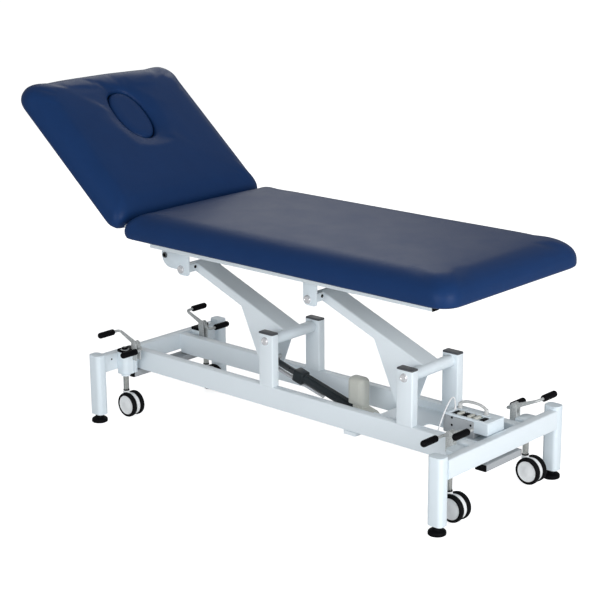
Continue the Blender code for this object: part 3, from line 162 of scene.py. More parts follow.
LOOKS = {
    "white_coat": dict(rough=0.34, spread=0.06, fleck=0.025, cloud=7.0, grain=1500.0, depth=0.00006,
                       coat=0.05, specular=0.35),
    "upholstery": dict(rough=0.40, spread=0.025, fleck=0.10, cloud=11.0, grain=620.0, depth=0.00030,
                       leather=True, specular=0.11),
    "lining": dict(rough=0.90, spread=0.05, fleck=0.25, cloud=500.0, grain=900.0, depth=0.00040),
    "rubber": dict(rough=0.50, spread=0.10, fleck=0.20, cloud=60.0, grain=1100.0, depth=0.00010,
                   specular=0.05),
    "cap_plastic": dict(rough=0.48, spread=0.08, fleck=0.10, cloud=40.0, grain=1600.0, depth=0.00010),
    "charcoal": dict(rough=0.40, spread=0.08, fleck=0.12, cloud=40.0, grain=1500.0, depth=0.00012,
                     specular=0.3),
    "motor_plastic": dict(rough=0.45, spread=0.08, fleck=0.04, cloud=30.0, grain=1700.0, depth=0.00010),
    "dark_steel": dict(rough=0.33, spread=0.10, fleck=0.15, cloud=90.0, grain=700.0, depth=0.00004,
                       metal=1.0),
    "chrome": dict(rough=0.16, spread=0.07, fleck=0.05, cloud=70.0, grain=500.0, depth=0.00002, metal=0.6),
    "stem_steel": dict(rough=0.24, spread=0.07, fleck=0.06, cloud=70.0, grain=500.0, depth=0.00002,
                       metal=1.0),
    "castor_plastic": dict(rough=0.42, spread=0.06, fleck=0.04, cloud=45.0, grain=1500.0, depth=0.00008),
    "tyre": dict(rough=0.58, spread=0.10, fleck=0.20, cloud=80.0, grain=1200.0, depth=0.00012, specular=0.05),
    "pedal_steel": dict(rough=0.36, spread=0.12, fleck=0.10, cloud=240.0, grain=800.0, depth=0.00004,
                        metal=0.15, spangle=True),
    "control_plastic": dict(rough=0.50, spread=0.07, fleck=0.05, cloud=40.0, grain=1500.0, depth=0.00012),
    "cable": dict(rough=0.45, spread=0.06, fleck=0.05, cloud=70.0, grain=1300.0, depth=0.00006),
    "thin_cable": dict(rough=0.45, spread=0.06, fleck=0.04, cloud=70.0, grain=1300.0, depth=0.00006),
}


def shade(colour, factor):
    return (*(min(1.0, channel * factor) for channel in colour), 1.0)


def add_node(tree, kind, **values):
    """Shader node with the given input values."""
    node = tree.nodes.new(kind)
    for name, value in values.items():
        node.inputs[name.replace("_", " ")].default_value = value
    return node


def make_finish(name, colour, look):
    """Material whose colour, gloss and surface vary as the real finish does."""
    material = bpy.data.materials.new(FINISH_PREFIX + name)
    material.use_nodes = True
    tree = material.node_tree
    links = tree.links
    shader = tree.nodes["Principled BSDF"]
    shader.inputs["Metallic"].default_value = look.get("metal", 0.0)
    shader.inputs["Coat Weight"].default_value = look.get("coat", 0.0)
    shader.inputs["Specular IOR Level"].default_value = look.get("specular", 0.5)
    shader.inputs["Coat Roughness"].default_value = 0.2
    place = tree.nodes.new("ShaderNodeTexCoord").outputs["Object"]
    if look.get("spangle"):
        cloud = add_node(tree, "ShaderNodeTexVoronoi", Scale=look["cloud"])
        cloud_value = cloud.outputs["Distance"]
    else:
        cloud = add_node(tree, "ShaderNodeTexNoise", Scale=look["cloud"], Detail=5.0, Roughness=0.6)
        cloud_value = cloud.outputs["Fac"]
    links.new(place, cloud.inputs["Vector"])
    mix = tree.nodes.new("ShaderNodeMix")
    mix.data_type = "RGBA"
    mix.inputs["A"].default_value = shade(colour, 1 - look["fleck"])
    mix.inputs["B"].default_value = shade(colour, 1 + look["fleck"])
    links.new(cloud_value, mix.inputs["Factor"])
    edge = tree.nodes.new("ShaderNodeNewGeometry")
    edge_range = add_node(tree, "ShaderNodeMapRange", From_Min=0.52, From_Max=0.62, To_Min=0.0, To_Max=0.25)
    links.new(edge.outputs["Pointiness"], edge_range.inputs["Value"])
    worn = tree.nodes.new("ShaderNodeMix")
    worn.data_type = "RGBA"
    worn.inputs["B"].default_value = shade(colour, 1.5)
    links.new(edge_range.outputs["Result"], worn.inputs["Factor"])
    links.new(mix.outputs["Result"], worn.inputs["A"])
    links.new(worn.outputs["Result"], shader.inputs["Base Color"])
    gloss = add_node(tree, "ShaderNodeMapRange", From_Min=0.3, From_Max=0.7,
                     To_Min=look["rough"] - look["spread"], To_Max=look["rough"] + look["spread"])
    links.new(cloud_value, gloss.inputs["Value"])
    links.new(gloss.outputs["Result"], shader.inputs["Roughness"])
    if look.get("leather"):
        grain = add_node(tree, "ShaderNodeTexVoronoi", Scale=look["grain"])
        grain.feature = "DISTANCE_TO_EDGE"
        grain_value = grain.outputs["Distance"]
    else:
        grain = add_node(tree, "ShaderNodeTexNoise", Scale=look["grain"], Detail=3.0)
        grain_value = grain.outputs["Fac"]
    links.new(place, grain.inputs["Vector"])
    bump = add_node(tree, "ShaderNodeBump", Strength=0.5, Distance=look["depth"])
    links.new(grain_value, bump.inputs["Height"])
    links.new(bump.outputs["Normal"], shader.inputs["Normal"])
    return material


def finish_of(name):
    return bpy.data.materials[FINISH_PREFIX + name]


def new_shape():
    return bmesh.new()


def soften(shape, edges, radius, steps):
    """Round the given edges off."""
    bmesh.ops.bevel(shape, geom=edges, offset=radius, offset_type="OFFSET", segments=steps, profile=0.5,
                    affect="EDGES", material=-1, clamp_overlap=True)


def rim_at(shape, level):
    """Edges of a shape that lie at one level."""
    return [edge for edge in shape.edges if all(abs(vertex.co.z - level) < 1e-5 for vertex in edge.verts)]


def add_block(shape, low, high, soft=0.0, steps=3, where=HERE, upright_only=False):
    """Box between two corners with rounded edges."""
    low, high = Vector(low), Vector(high)
    size = high - low
    known = set(shape.verts)
    bmesh.ops.create_cube(shape, size=1.0, matrix=where @ Matrix.Translation((low + high) / 2)
                          @ Matrix.Diagonal((*size, 1.0)))
    if soft:
        up = (where.to_3x3() @ Vector((0, 0, 1))).normalized()
        edges = [edge for edge in shape.edges if edge.verts[0] not in known]
        if upright_only:
            edges = [edge for edge in edges
                     if abs((edge.verts[1].co - edge.verts[0].co).normalized().dot(up)) > 0.99]
        soften(shape, edges, soft, steps)


def add_tube_box(shape, low, high, axis, soft=TUBE_CORNER):
    """Length of rectangular tube: only the edges along its axis are round."""
    turn = {"X": ALONG_X, "Y": ALONG_Y, "Z": HERE}[axis]
    low, high = Vector(low), Vector(high)
    middle = (low + high) / 2
    size = turn.to_3x3().inverted() @ (high - low)
    half = Vector([abs(part) / 2 for part in size])
    add_block(shape, -half, half, soft, 4, Matrix.Translation(middle) @ turn, upright_only=True)


def add_lathe(shape, profile, where, steps):
    """Turned solid through (radius, height) pairs about the local Z axis."""
    points = [shape.verts.new(where @ Vector((radius, 0.0, height))) for radius, height in profile]
    lines = [shape.edges.new(pair) for pair in zip(points, points[1:])]
    axis = where.to_3x3() @ Vector((0, 0, 1))
    bmesh.ops.spin(shape, geom=points + lines, cent=where.translation, axis=axis, angle=2 * math.pi,
                   steps=steps, use_merge=True)


def beside(place, offset):
    """Place moved across the table."""
    return place + Vector((0.0, offset, 0.0))


def above(place, rise):
    """Place moved up."""
    return place + Vector((0.0, 0.0, rise))


def crosswise(place, half):
    """Two ends of a line across the table with the given middle."""
    return beside(place, -half), beside(place, half)


def outward(across):
    """Turn of a local Z axis towards the near side, -1, or the far side, 1."""
    return Matrix.Rotation(math.radians(-90 * across), 4, "X")


def line_frame(start, end):
    """Place and turn of a local Z axis that runs from start to end, and its length."""
    start, end = Vector(start), Vector(end)
    run = end - start
    return Matrix.Translation(start) @ run.to_track_quat("Z", "Y").to_matrix().to_4x4(), run.length


def add_rod(shape, radius, start, end, steps, soft=0.0006):
    """Round bar between two points with a small chamfer at both ends."""
    where, length = line_frame(start, end)
    add_lathe(shape, ((0.0, 0.0), (radius - soft, 0.0), (radius, soft), (radius, length - soft),
                      (radius - soft, length), (0.0, length)), where, steps)


def add_sleeve(shape, outer, inner, start, end, steps, soft=0.0006):
    """Tube between two points."""
    where, length = line_frame(start, end)
    add_lathe(shape, ((inner, 0.0), (outer - soft, 0.0), (outer, soft), (outer, length - soft),
                      (outer - soft, length), (inner, length), (inner, 0.0)), where, steps)


def add_plate(shape, outline, thick, where, soft=FINE_EDGE, steps=2):
    """Flat plate: an outline in the local XY plane, pulled to both sides, with its rim rounded."""
    points = [shape.verts.new(where @ Vector((a, b, -thick / 2))) for a, b in outline]
    face = shape.faces.new(points)
    pulled = bmesh.ops.extrude_face_region(shape, geom=[face])["geom"]
    lifted = [part for part in pulled if isinstance(part, bmesh.types.BMVert)]
    normal = (where.to_3x3() @ Vector((0, 0, 1))).normalized()
    bmesh.ops.translate(shape, verts=lifted, vec=normal * thick)
    if soft:
        ring = set(points) | set(lifted)
        rim = [edge for edge in shape.edges if edge.verts[0] in ring and edge.verts[1] in ring
               and abs((edge.verts[1].co - edge.verts[0].co).normalized().dot(normal)) < 0.5]
        soften(shape, rim, soft, steps)


def arc(centre, radius, start, end, steps):
    """Points on an arc between two angles in degrees."""
    angles = [math.radians(start + (end - start) * step / steps) for step in range(steps + 1)]
    return [(centre[0] + radius * math.cos(angle), centre[1] + radius * math.sin(angle)) for angle in angles]


def add_weld(shape, start, end, radius=0.0017):
    """Weld seam: a row of overlapping beads between two points."""
    start, end = Vector(start), Vector(end)
    count = max(2, round((end - start).length / (radius * 1.3)))
    for step in range(count + 1):
        place = Matrix.Translation(start.lerp(end, step / count))
        bmesh.ops.create_icosphere(shape, subdivisions=1, radius=radius, matrix=place)


def add_frame_weld(shape, low, high, level):
    """Weld seam round the foot of an upright tube."""
    corners = [(low[0], low[1], level), (high[0], low[1], level), (high[0], high[1], level),
               (low[0], high[1], level)]
    for start, end in zip(corners, corners[1:] + corners[:1]):
        add_weld(shape, start, end)


def add_bolt(shape, where, radius, height, steps):
    """Round pivot bolt with a washer, a grooved rim and a shallow dished face."""
    add_lathe(shape, ((0.0, -0.0005), (radius * 1.12, -0.0005), (radius * 1.12, 0.0010),
                      (radius * 1.04, 0.0014), (radius * 0.98, 0.0014), (radius, 0.0020),
                      (radius, height - 0.0016), (radius * 0.93, height - 0.0003), (radius * 0.85, height),
                      (radius * 0.66, height), (radius * 0.60, height - 0.0010), (0.0, height - 0.0010)),
              where, steps)


def add_sweep(shape, points, radius):
    """Round bar bent along a line of points."""
    data = bpy.data.curves.new("bent bar", "CURVE")
    data.dimensions = "3D"
    data.bevel_depth = radius
    data.bevel_resolution = 6
    data.use_fill_caps = True
    line = data.splines.new("POLY")
    line.points.add(len(points) - 1)
    for knot, point in zip(line.points, points):
        knot.co = (*point, 1.0)
    bar = bpy.data.objects.new("bent bar", data)
    bpy.context.scene.collection.objects.link(bar)
    mesh = bpy.data.meshes.new_from_object(bar.evaluated_get(bpy.context.evaluated_depsgraph_get()))
    shape.from_mesh(mesh)
    bpy.data.meshes.remove(mesh)
    bpy.data.objects.remove(bar)
    bpy.data.curves.remove(data)


def bent(points, radius, steps=8):
    """Line through the points with each corner rounded."""
    corners = [Vector(point) for point in points]
    line = [corners[0]]
    for before, corner, after in zip(corners, corners[1:], corners[2:]):
        start = corner + (before - corner).normalized() * radius
        end = corner + (after - corner).normalized() * radius
        line += interpolate_bezier(start, start.lerp(corner, 0.55), end.lerp(corner, 0.55), end, steps)
    return line + [corners[-1]]


def place_piece(name, shape, slot, body, *nodes, material=None, sharp=35):
    """Turn a shape into a piece that rides on a body and stands for CAD nodes."""
    bmesh.ops.remove_doubles(shape, verts=shape.verts, dist=1e-6)
    bmesh.ops.recalc_face_normals(shape, faces=shape.faces)
    mesh = bpy.data.meshes.new(name)
    shape.to_mesh(mesh)
    shape.free()
    mesh.materials.append(finish_of(material or slot))
    mesh.shade_smooth()
    mesh.set_sharp_from_angle(angle=math.radians(sharp))
    piece = bpy.data.objects.new(name, mesh)
    bpy.context.scene.collection.objects.link(piece)
    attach(piece, body)
    if nodes:
        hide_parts(*nodes)
    return piece


class TableOperator:
    """What the operators share."""

    bl_options = {"REGISTER", "UNDO"}

    @staticmethod
    def sizes(context):
        return context.scene.table_sizes


class EXAM_OT_finishes(TableOperator, bpy.types.Operator):
    """Make the table's finishes and put them on the CAD nodes"""

    bl_idname = "exam_table.finishes"
    bl_label = "Finishes"

    def execute(self, context):
        colours = context.scene.table_colours
        for name, look in LOOKS.items():
            make_finish(name, tuple(getattr(colours, name)), look)
        for entry in frame["record"]["subparts"]:
            for slot in NODES[entry["node"]].material_slots:
                slot.material = finish_of(entry["material_slot"])
        return {"FINISHED"}


class EXAM_OT_stage(TableOperator, bpy.types.Operator):
    """Put up the floor, the lights and the camera"""

    bl_idname = "exam_table.stage"
    bl_label = "Stage"

    camera_place = (3.46985, -3.754, 1.910)
    camera_turn = (42.2144, 15.704, -0.4529)
    focal_length = 99.42
    floor_lift = 0.72
    floor_half = 30.0
    sky_colour = (0.96, 0.98, 1.0, 1.0)
    sky_strength = 0.38
    aim = Vector((0.0, 0.0, 0.5))
    lamps = (
        ("key light", (5.2, -1.4, 1.7), 3.0, 155.0),
        ("fill light", (1.5, -5.0, 1.7), 3.0, 85.0),
        ("back light", (-3.4, 3.6, 3.4), 3.0, 35.0),
    )

    def make_camera(self, scene):
        """Camera at the picture's place, turned by azimuth, elevation and roll in degrees."""
        azimuth, elevation, roll = (math.radians(angle) for angle in self.camera_turn)
        back = Vector((math.sin(azimuth) * math.cos(elevation), -math.cos(azimuth) * math.cos(elevation),
                       math.sin(elevation)))
        right = Vector((math.cos(azimuth), math.sin(azimuth), 0.0))
        up = back.cross(right)
        turned_right = right * math.cos(roll) + up * math.sin(roll)
        turned_up = up * math.cos(roll) - right * math.sin(roll)
        camera = bpy.data.objects.new("camera", bpy.data.cameras.new("camera"))
        camera.data.lens = self.focal_length
        camera.matrix_world = (Matrix.Translation(self.camera_place)
                               @ Matrix((turned_right, turned_up, back)).transposed().to_4x4())
        scene.collection.objects.link(camera)
        scene.camera = camera

    def make_floor(self, scene, colour):
        """Pale floor that keeps the shadow and looks brighter to the camera alone."""
        shape = new_shape()
        bmesh.ops.create_grid(shape, x_segments=1, y_segments=1, size=self.floor_half)
        mesh = bpy.data.meshes.new("floor")
        shape.to_mesh(mesh)
        shape.free()
        floor = bpy.data.objects.new("floor", mesh)
        scene.collection.objects.link(floor)
        material = bpy.data.materials.new("floor")
        material.use_nodes = True
        tree = material.node_tree
        shader = tree.nodes["Principled BSDF"]
        shader.inputs["Base Color"].default_value = (*colour, 1.0)
        shader.inputs["Roughness"].default_value = 0.9
        shader.inputs["Specular IOR Level"].default_value = 0.0
        shader.inputs["Emission Color"].default_value = (1.0, 1.0, 1.0, 1.0)
        path = tree.nodes.new("ShaderNodeLightPath")
        lift = tree.nodes.new("ShaderNodeMath")
        lift.operation = "MULTIPLY"
        lift.inputs[1].default_value = self.floor_lift
        tree.links.new(path.outputs["Is Camera Ray"], lift.inputs[0])
        tree.links.new(lift.outputs["Value"], shader.inputs["Emission Strength"])
        mesh.materials.append(material)

    def make_world(self, scene):
        """Soft sky light, seen as plain white behind the table."""
        world = bpy.data.worlds.new("studio")
        scene.world = world
        world.use_nodes = True
        tree = world.node_tree
        links = tree.links
        light = tree.nodes["Background"]
        light.inputs["Color"].default_value = self.sky_colour
        light.inputs["Strength"].default_value = self.sky_strength
        seen = add_node(tree, "ShaderNodeBackground", Color=(1.0, 1.0, 1.0, 1.0), Strength=1.0)
        path = tree.nodes.new("ShaderNodeLightPath")
        both = tree.nodes.new("ShaderNodeMath")
        both.operation = "MAXIMUM"
        links.new(path.outputs["Is Camera Ray"], both.inputs[0])
        links.new(path.outputs["Is Transmission Ray"], both.inputs[1])
        mix = tree.nodes.new("ShaderNodeMixShader")
        links.new(both.outputs["Value"], mix.inputs["Fac"])
        links.new(light.outputs["Background"], mix.inputs[1])
        links.new(seen.outputs["Background"], mix.inputs[2])
        links.new(mix.outputs["Shader"], tree.nodes["World Output"].inputs["Surface"])

    def execute(self, context):
        scene = context.scene
        scene.view_settings.view_transform = "Standard"
        self.make_camera(scene)
        self.make_floor(scene, tuple(scene.table_colours.floor))
        self.make_world(scene)
        for name, place, size, power in self.lamps:
            data = bpy.data.lights.new(name, "AREA")
            data.shape = "DISK"
            data.size = size
            data.energy = power
            lamp = bpy.data.objects.new(name, data)
            way = self.aim - Vector(place)
            lamp.matrix_world = Matrix.Translation(place) @ way.to_track_quat("-Z", "Y").to_matrix().to_4x4()
            scene.collection.objects.link(lamp)
        return {"FINISHED"}


class EXAM_OT_cushions(TableOperator, bpy.types.Operator):
    """Fill the covers of the body cushion, the head cushion and the face plug"""

    bl_idname = "exam_table.cushions"
    bl_label = "Cushions"

    start_outset = 0.006
    hinge_ease = 0.07
    even_rounds = 8
    board_depth = 0.010
    lining_inset = 0.030
    frames = 20
    fill = 0.9
    plug_half = (0.1075, 0.0675)
    hole_gap = 0.008
    hole_ease = 0.4
    plug_shrink = -0.4
    head_grid = 0.8
    plug_grid = 0.5

    def remeshed(self, context, node, grid, share):
        """Mesh of the CAD pad, let out a little and made of even squares."""
        shape = new_shape()
        shape.from_mesh(NODES[node].data)
        bmesh.ops.remove_doubles(shape, verts=shape.verts, dist=1e-5)
        bmesh.ops.recalc_face_normals(shape, faces=shape.faces)
        shape.normal_update()
        moves = [(vertex, vertex.normal * self.start_outset * share(vertex.co)) for vertex in shape.verts]
        for vertex, move in moves:
            vertex.co += move
        mesh = bpy.data.meshes.new("cover")
        shape.to_mesh(mesh)
        shape.free()
        cover = bpy.data.objects.new("cover", mesh)
        context.scene.collection.objects.link(cover)
        even = cover.modifiers.new("even squares", "REMESH")
        even.mode = "VOXEL"
        even.voxel_size = grid
        soft = cover.modifiers.new("even out", "SMOOTH")
        soft.factor = 0.5
        soft.iterations = 4
        made = bpy.data.meshes.new_from_object(cover.evaluated_get(context.evaluated_depsgraph_get()))
        bpy.data.objects.remove(cover)
        return made

    def swollen(self, context, mesh, held, share):
        """Cover pushed out by its filling: held points stay, others move by their share of the swell."""
        scene = context.scene
        sizes = self.sizes(context)
        cover = bpy.data.objects.new("cover", mesh)
        scene.collection.objects.link(cover)
        group = cover.vertex_groups.new(name="held")
        group.add(held, 1.0, "REPLACE")
        cloth = cover.modifiers.new("filling", "CLOTH")
        settings = cloth.settings
        settings.vertex_group_mass = "held"
        settings.use_pressure = True
        settings.uniform_pressure_force = sizes.pad_pressure
        settings.effector_weights.gravity = 0.0
        settings.quality = 4
        settings.tension_stiffness = 25.0
        settings.compression_stiffness = 25.0
        settings.shear_stiffness = 12.0
        settings.bending_stiffness = 1.5
        cloth.collision_settings.use_collision = False
        cloth.point_cache.frame_start = 1
        cloth.point_cache.frame_end = self.frames
        rest = [vertex.co.copy() for vertex in mesh.vertices]
        for step in range(1, self.frames + 1):
            scene.frame_set(step)
        pushed = bpy.data.meshes.new_from_object(cover.evaluated_get(context.evaluated_depsgraph_get()))
        places = [vertex.co.copy() for vertex in pushed.vertices]
        bpy.data.objects.remove(cover)
        scene.frame_set(1)
        for vertex, before, after in zip(pushed.vertices, rest, places):
            move = after - before
            furthest = sizes.pad_swell * max(0.0, share(before))
            if move.length > furthest:
                move *= furthest / move.length
            vertex.co = before + move
        shape = new_shape()
        shape.from_mesh(pushed)
        for _ in range(self.even_rounds):
            bmesh.ops.smooth_vert(shape, verts=shape.verts, factor=0.5, use_axis_x=True, use_axis_y=True,
                                  use_axis_z=True)
        shape.to_mesh(pushed)
        shape.free()
        return pushed

    def line_underside(self, mesh, to_pad, lowest):
        """Give the faces under the pad the lining, inside the turned-in edge of the cover."""
        flat = [to_pad @ vertex.co for vertex in mesh.vertices]
        low_x, high_x = min(point.x for point in flat), max(point.x for point in flat)
        half_y = max(point.y for point in flat)
        for face in mesh.polygons:
            middle = to_pad @ face.center
            faces_down = (to_pad.to_3x3() @ face.normal).z < -0.9
            under = faces_down and middle.z < lowest + self.board_depth
            inside = (low_x + self.lining_inset < middle.x < high_x - self.lining_inset
                      and abs(middle.y) < half_y - self.lining_inset)
            face.material_index = 1 if under and inside else 0

    def make_pad(self, context, name, node, body, where, grid, share):
        """Padded piece in place of a CAD pad; share says how far a point in the pad's own frame may move."""
        to_pad = where.inverted()

        def share_at(place):
            return share(to_pad @ place)

        mesh = self.remeshed(context, node, grid, share_at)
        lowest = min((to_pad @ vertex.co).z for vertex in mesh.vertices)
        held = [vertex.index for vertex in mesh.vertices
                if (to_pad @ vertex.co).z < lowest + self.board_depth or share_at(vertex.co) == 0.0]
        mesh = self.swollen(context, mesh, held, share_at)
        mesh.name = name
        mesh.materials.clear()
        mesh.materials.append(finish_of("upholstery"))
        mesh.materials.append(finish_of("lining"))
        self.line_underside(mesh, to_pad, lowest)
        mesh.shade_smooth()
        pad = bpy.data.objects.new(name, mesh)
        context.scene.collection.objects.link(pad)
        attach(pad, body)
        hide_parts(node)

    def execute(self, context):
        low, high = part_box("face_plug")
        plug_middle = HEAD_FRAME.inverted() @ ((low + high) / 2)
        hole_half = [half + self.hole_gap for half in self.plug_half]

        def body_share(point):
            return min(1.0, abs(point.x - HINGE.x) / self.hinge_ease)

        def head_share(point):
            beyond = math.hypot((point.x - plug_middle.x) / hole_half[0], point.y / hole_half[1]) - 1.0
            return min(1.0, max(0.0, beyond) / self.hole_ease) * min(1.0, abs(point.x) / self.hinge_ease)

        def plug_share(point):
            return self.plug_shrink

        grid = self.sizes(context).pad_grid
        self.make_pad(context, "body_pad", "body_cushion", "top", HERE, grid, body_share)
        head_grid, plug_grid = grid * self.head_grid, grid * self.plug_grid
        self.make_pad(context, "head_pad", "head_cushion", "head", HEAD_FRAME, head_grid, head_share)
        self.make_pad(context, "face_plug_pad", "face_plug", "plug", HEAD_FRAME, plug_grid, plug_share)
        return {"FINISHED"}


class EXAM_OT_legs(TableOperator, bpy.types.Operator):
    """Make the legs and their levelling feet"""

    bl_idname = "exam_table.legs"
    bl_label = "Legs and feet"

    bottom_edge = 0.0015
    foot_lap = 0.0006

    def execute(self, context):
        sizes = self.sizes(context)
        radius = sizes.foot_radius
        for end, _, side, _ in CORNERS:
            low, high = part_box(f"leg_{end}_{side}")
            leg = new_shape()
            add_block(leg, low, high, sizes.leg_corner, 8, upright_only=True)
            soften(leg, rim_at(leg, high.z), sizes.leg_dome, 6)
            soften(leg, rim_at(leg, low.z), self.bottom_edge, 2)
            place_piece(f"leg_{end}_{side}_tube", leg, "white_coat", "base", f"leg_{end}_{side}")
            foot = new_shape()
            middle = (low + high) / 2
            top = low.z + self.foot_lap
            add_lathe(foot, ((0.0, 0.0), (radius * 0.93, 0.0), (radius * 0.98, 0.0010), (radius, 0.0030),
                             (radius, 0.0080), (radius * 0.97, 0.0105), (radius * 0.86, 0.0135),
                             (radius * 0.70, 0.0152), (radius * 0.57, 0.0165), (radius * 0.52, 0.0185),
                             (radius * 0.52, top), (0.0, top)),
                      Matrix.Translation((middle.x, middle.y, 0.0)), sizes.round_steps)
            place_piece(f"foot_{end}_{side}", foot, "rubber", "base", f"levelling_foot_{end}_{side}")
        return {"FINISHED"}


class EXAM_OT_base(TableOperator, bpy.types.Operator):
    """Make the end beams, rails, posts, post caps and welds of the base"""

    bl_idname = "exam_table.base"
    bl_label = "Base frame"

    beam_thick = 0.030
    beam_low = 0.165
    beam_top = 0.225
    beam_lap = 0.003
    hung_inset = {"head": 0.030, "foot": 0.0225}
    hung_half = {"head": 0.148, "foot": 0.086}
    hung_size = {"head": (0.052, 0.022), "foot": (0.040, 0.0216)}
    hung_drop = {"head": 0.0275, "foot": 0.0216}
    lug_half = (0.008, 0.004)
    lug_place = 0.74
    plug_inset = 0.0005
    plug_thick = 0.005
    hole_place = (-0.2274, 0.2058)
    hole_radius = 0.0032
    cap_edge = 0.003

    def make_beam(self, end, out):
        """End beam welded between two legs, with what hangs below it."""
        legs = [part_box(f"leg_{end}_{side}") for side, _ in SIDES]
        outer = legs[0][1].x if out > 0 else legs[0][0].x
        inner = outer - out * self.beam_thick
        near, far = legs[0][1].y - self.beam_lap, legs[1][0].y + self.beam_lap
        beam = new_shape()
        low_x, high_x = sorted((inner, outer))
        add_tube_box(beam, (low_x, near, self.beam_low), (high_x, far, self.beam_top), "Y")
        ends = (near + self.beam_lap, far - self.beam_lap)
        for level in (self.beam_low, self.beam_top):
            for place in ends:
                add_weld(beam, (inner, place, level), (outer - out * 0.014, place, level))
        for place in ends:
            add_weld(beam, (inner, place, self.beam_low), (inner, place, self.beam_top))
        place_piece(f"end_beam_{end}_tube", beam, "white_coat", "base", f"end_beam_{end}")
        self.make_hung_tube(end, outer - out * self.hung_inset[end])
        if end == "head":
            # A thin black disc on the beam's inner face, in the black rubber finish: painted shade for the inside
            # of a hole.
            hole = new_shape()
            radius = self.hole_radius
            add_lathe(hole, ((0.0, -0.0005), (radius, -0.0005), (radius, 0.0003), (0.0, 0.0003)),
                      Matrix.Translation((inner, *self.hole_place)) @ ALONG_X, 16)
            place_piece("beam_hole", hole, "rubber", "base")

    def make_hung_tube(self, end, middle_x):
        """Short tube on two lugs, with a plug in each end."""
        middle_z = self.beam_low - self.hung_drop[end]
        half = self.hung_half[end]
        width, height = self.hung_size[end]
        low_x, high_x = middle_x - width / 2, middle_x + width / 2
        low_z, high_z = middle_z - height / 2, middle_z + height / 2
        hung = new_shape()
        add_tube_box(hung, (low_x, -half, low_z), (high_x, half, high_z), "Y")
        lug_x, lug_y = self.lug_half
        for across in (-1, 1):
            lug = across * half * self.lug_place
            add_block(hung, (middle_x - lug_x, lug - lug_y, middle_z),
                      (middle_x + lug_x, lug + lug_y, self.beam_low), FINE_EDGE, 2)
        place_piece(f"hung_tube_{end}", hung, "control_plastic", "base")
        plugs = new_shape()
        inset = self.plug_inset
        for across in (-1, 1):
            faces = sorted((across * half, across * half + across * self.plug_thick))
            add_block(plugs, (low_x + inset, faces[0], low_z + inset),
                      (high_x - inset, faces[1], high_z - inset), 0.0022, 4)
        place_piece(f"hung_tube_plugs_{end}", plugs, "rubber", "base")

    def make_post(self, tag, welds):
        """Upright tube with a weld round its foot and a cap on its top."""
        low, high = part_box(f"post_{tag}")
        post = new_shape()
        add_tube_box(post, low, high, "Z")
        place_piece(f"post_{tag}_tube", post, "white_coat", "base", f"post_{tag}")
        add_frame_weld(welds, (low.x + 0.003, low.y + 0.001), (high.x - 0.003, high.y - 0.001), low.z)
        cap = new_shape()
        cap_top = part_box(f"post_cap_{tag}")[1].z
        add_block(cap, (low.x, low.y, high.z + SEAT), (high.x, high.y, cap_top), TUBE_CORNER, 4,
                  upright_only=True)
        soften(cap, rim_at(cap, cap_top), self.cap_edge, 4)
        place_piece(f"post_cap_{tag}_cover", cap, "cap_plastic", "base", f"post_cap_{tag}")

    def execute(self, context):
        for end, out in ENDS:
            self.make_beam(end, out)
        welds = new_shape()
        for side, _ in SIDES:
            low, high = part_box(f"base_rail_{side}")
            rail = new_shape()
            add_tube_box(rail, low, high, "X")
            place_piece(f"base_rail_{side}_tube", rail, "white_coat", "base", f"base_rail_{side}")
            for x in (low.x, high.x):
                for y in (low.y, high.y):
                    add_weld(welds, (x, y, low.z + 0.014), (x, y, high.z - 0.004))
            for end, _ in ENDS:
                self.make_post(f"{end}_{side}", welds)
        place_piece("base_welds", welds, "white_coat", "base", sharp=60)
        return {"FINISHED"}


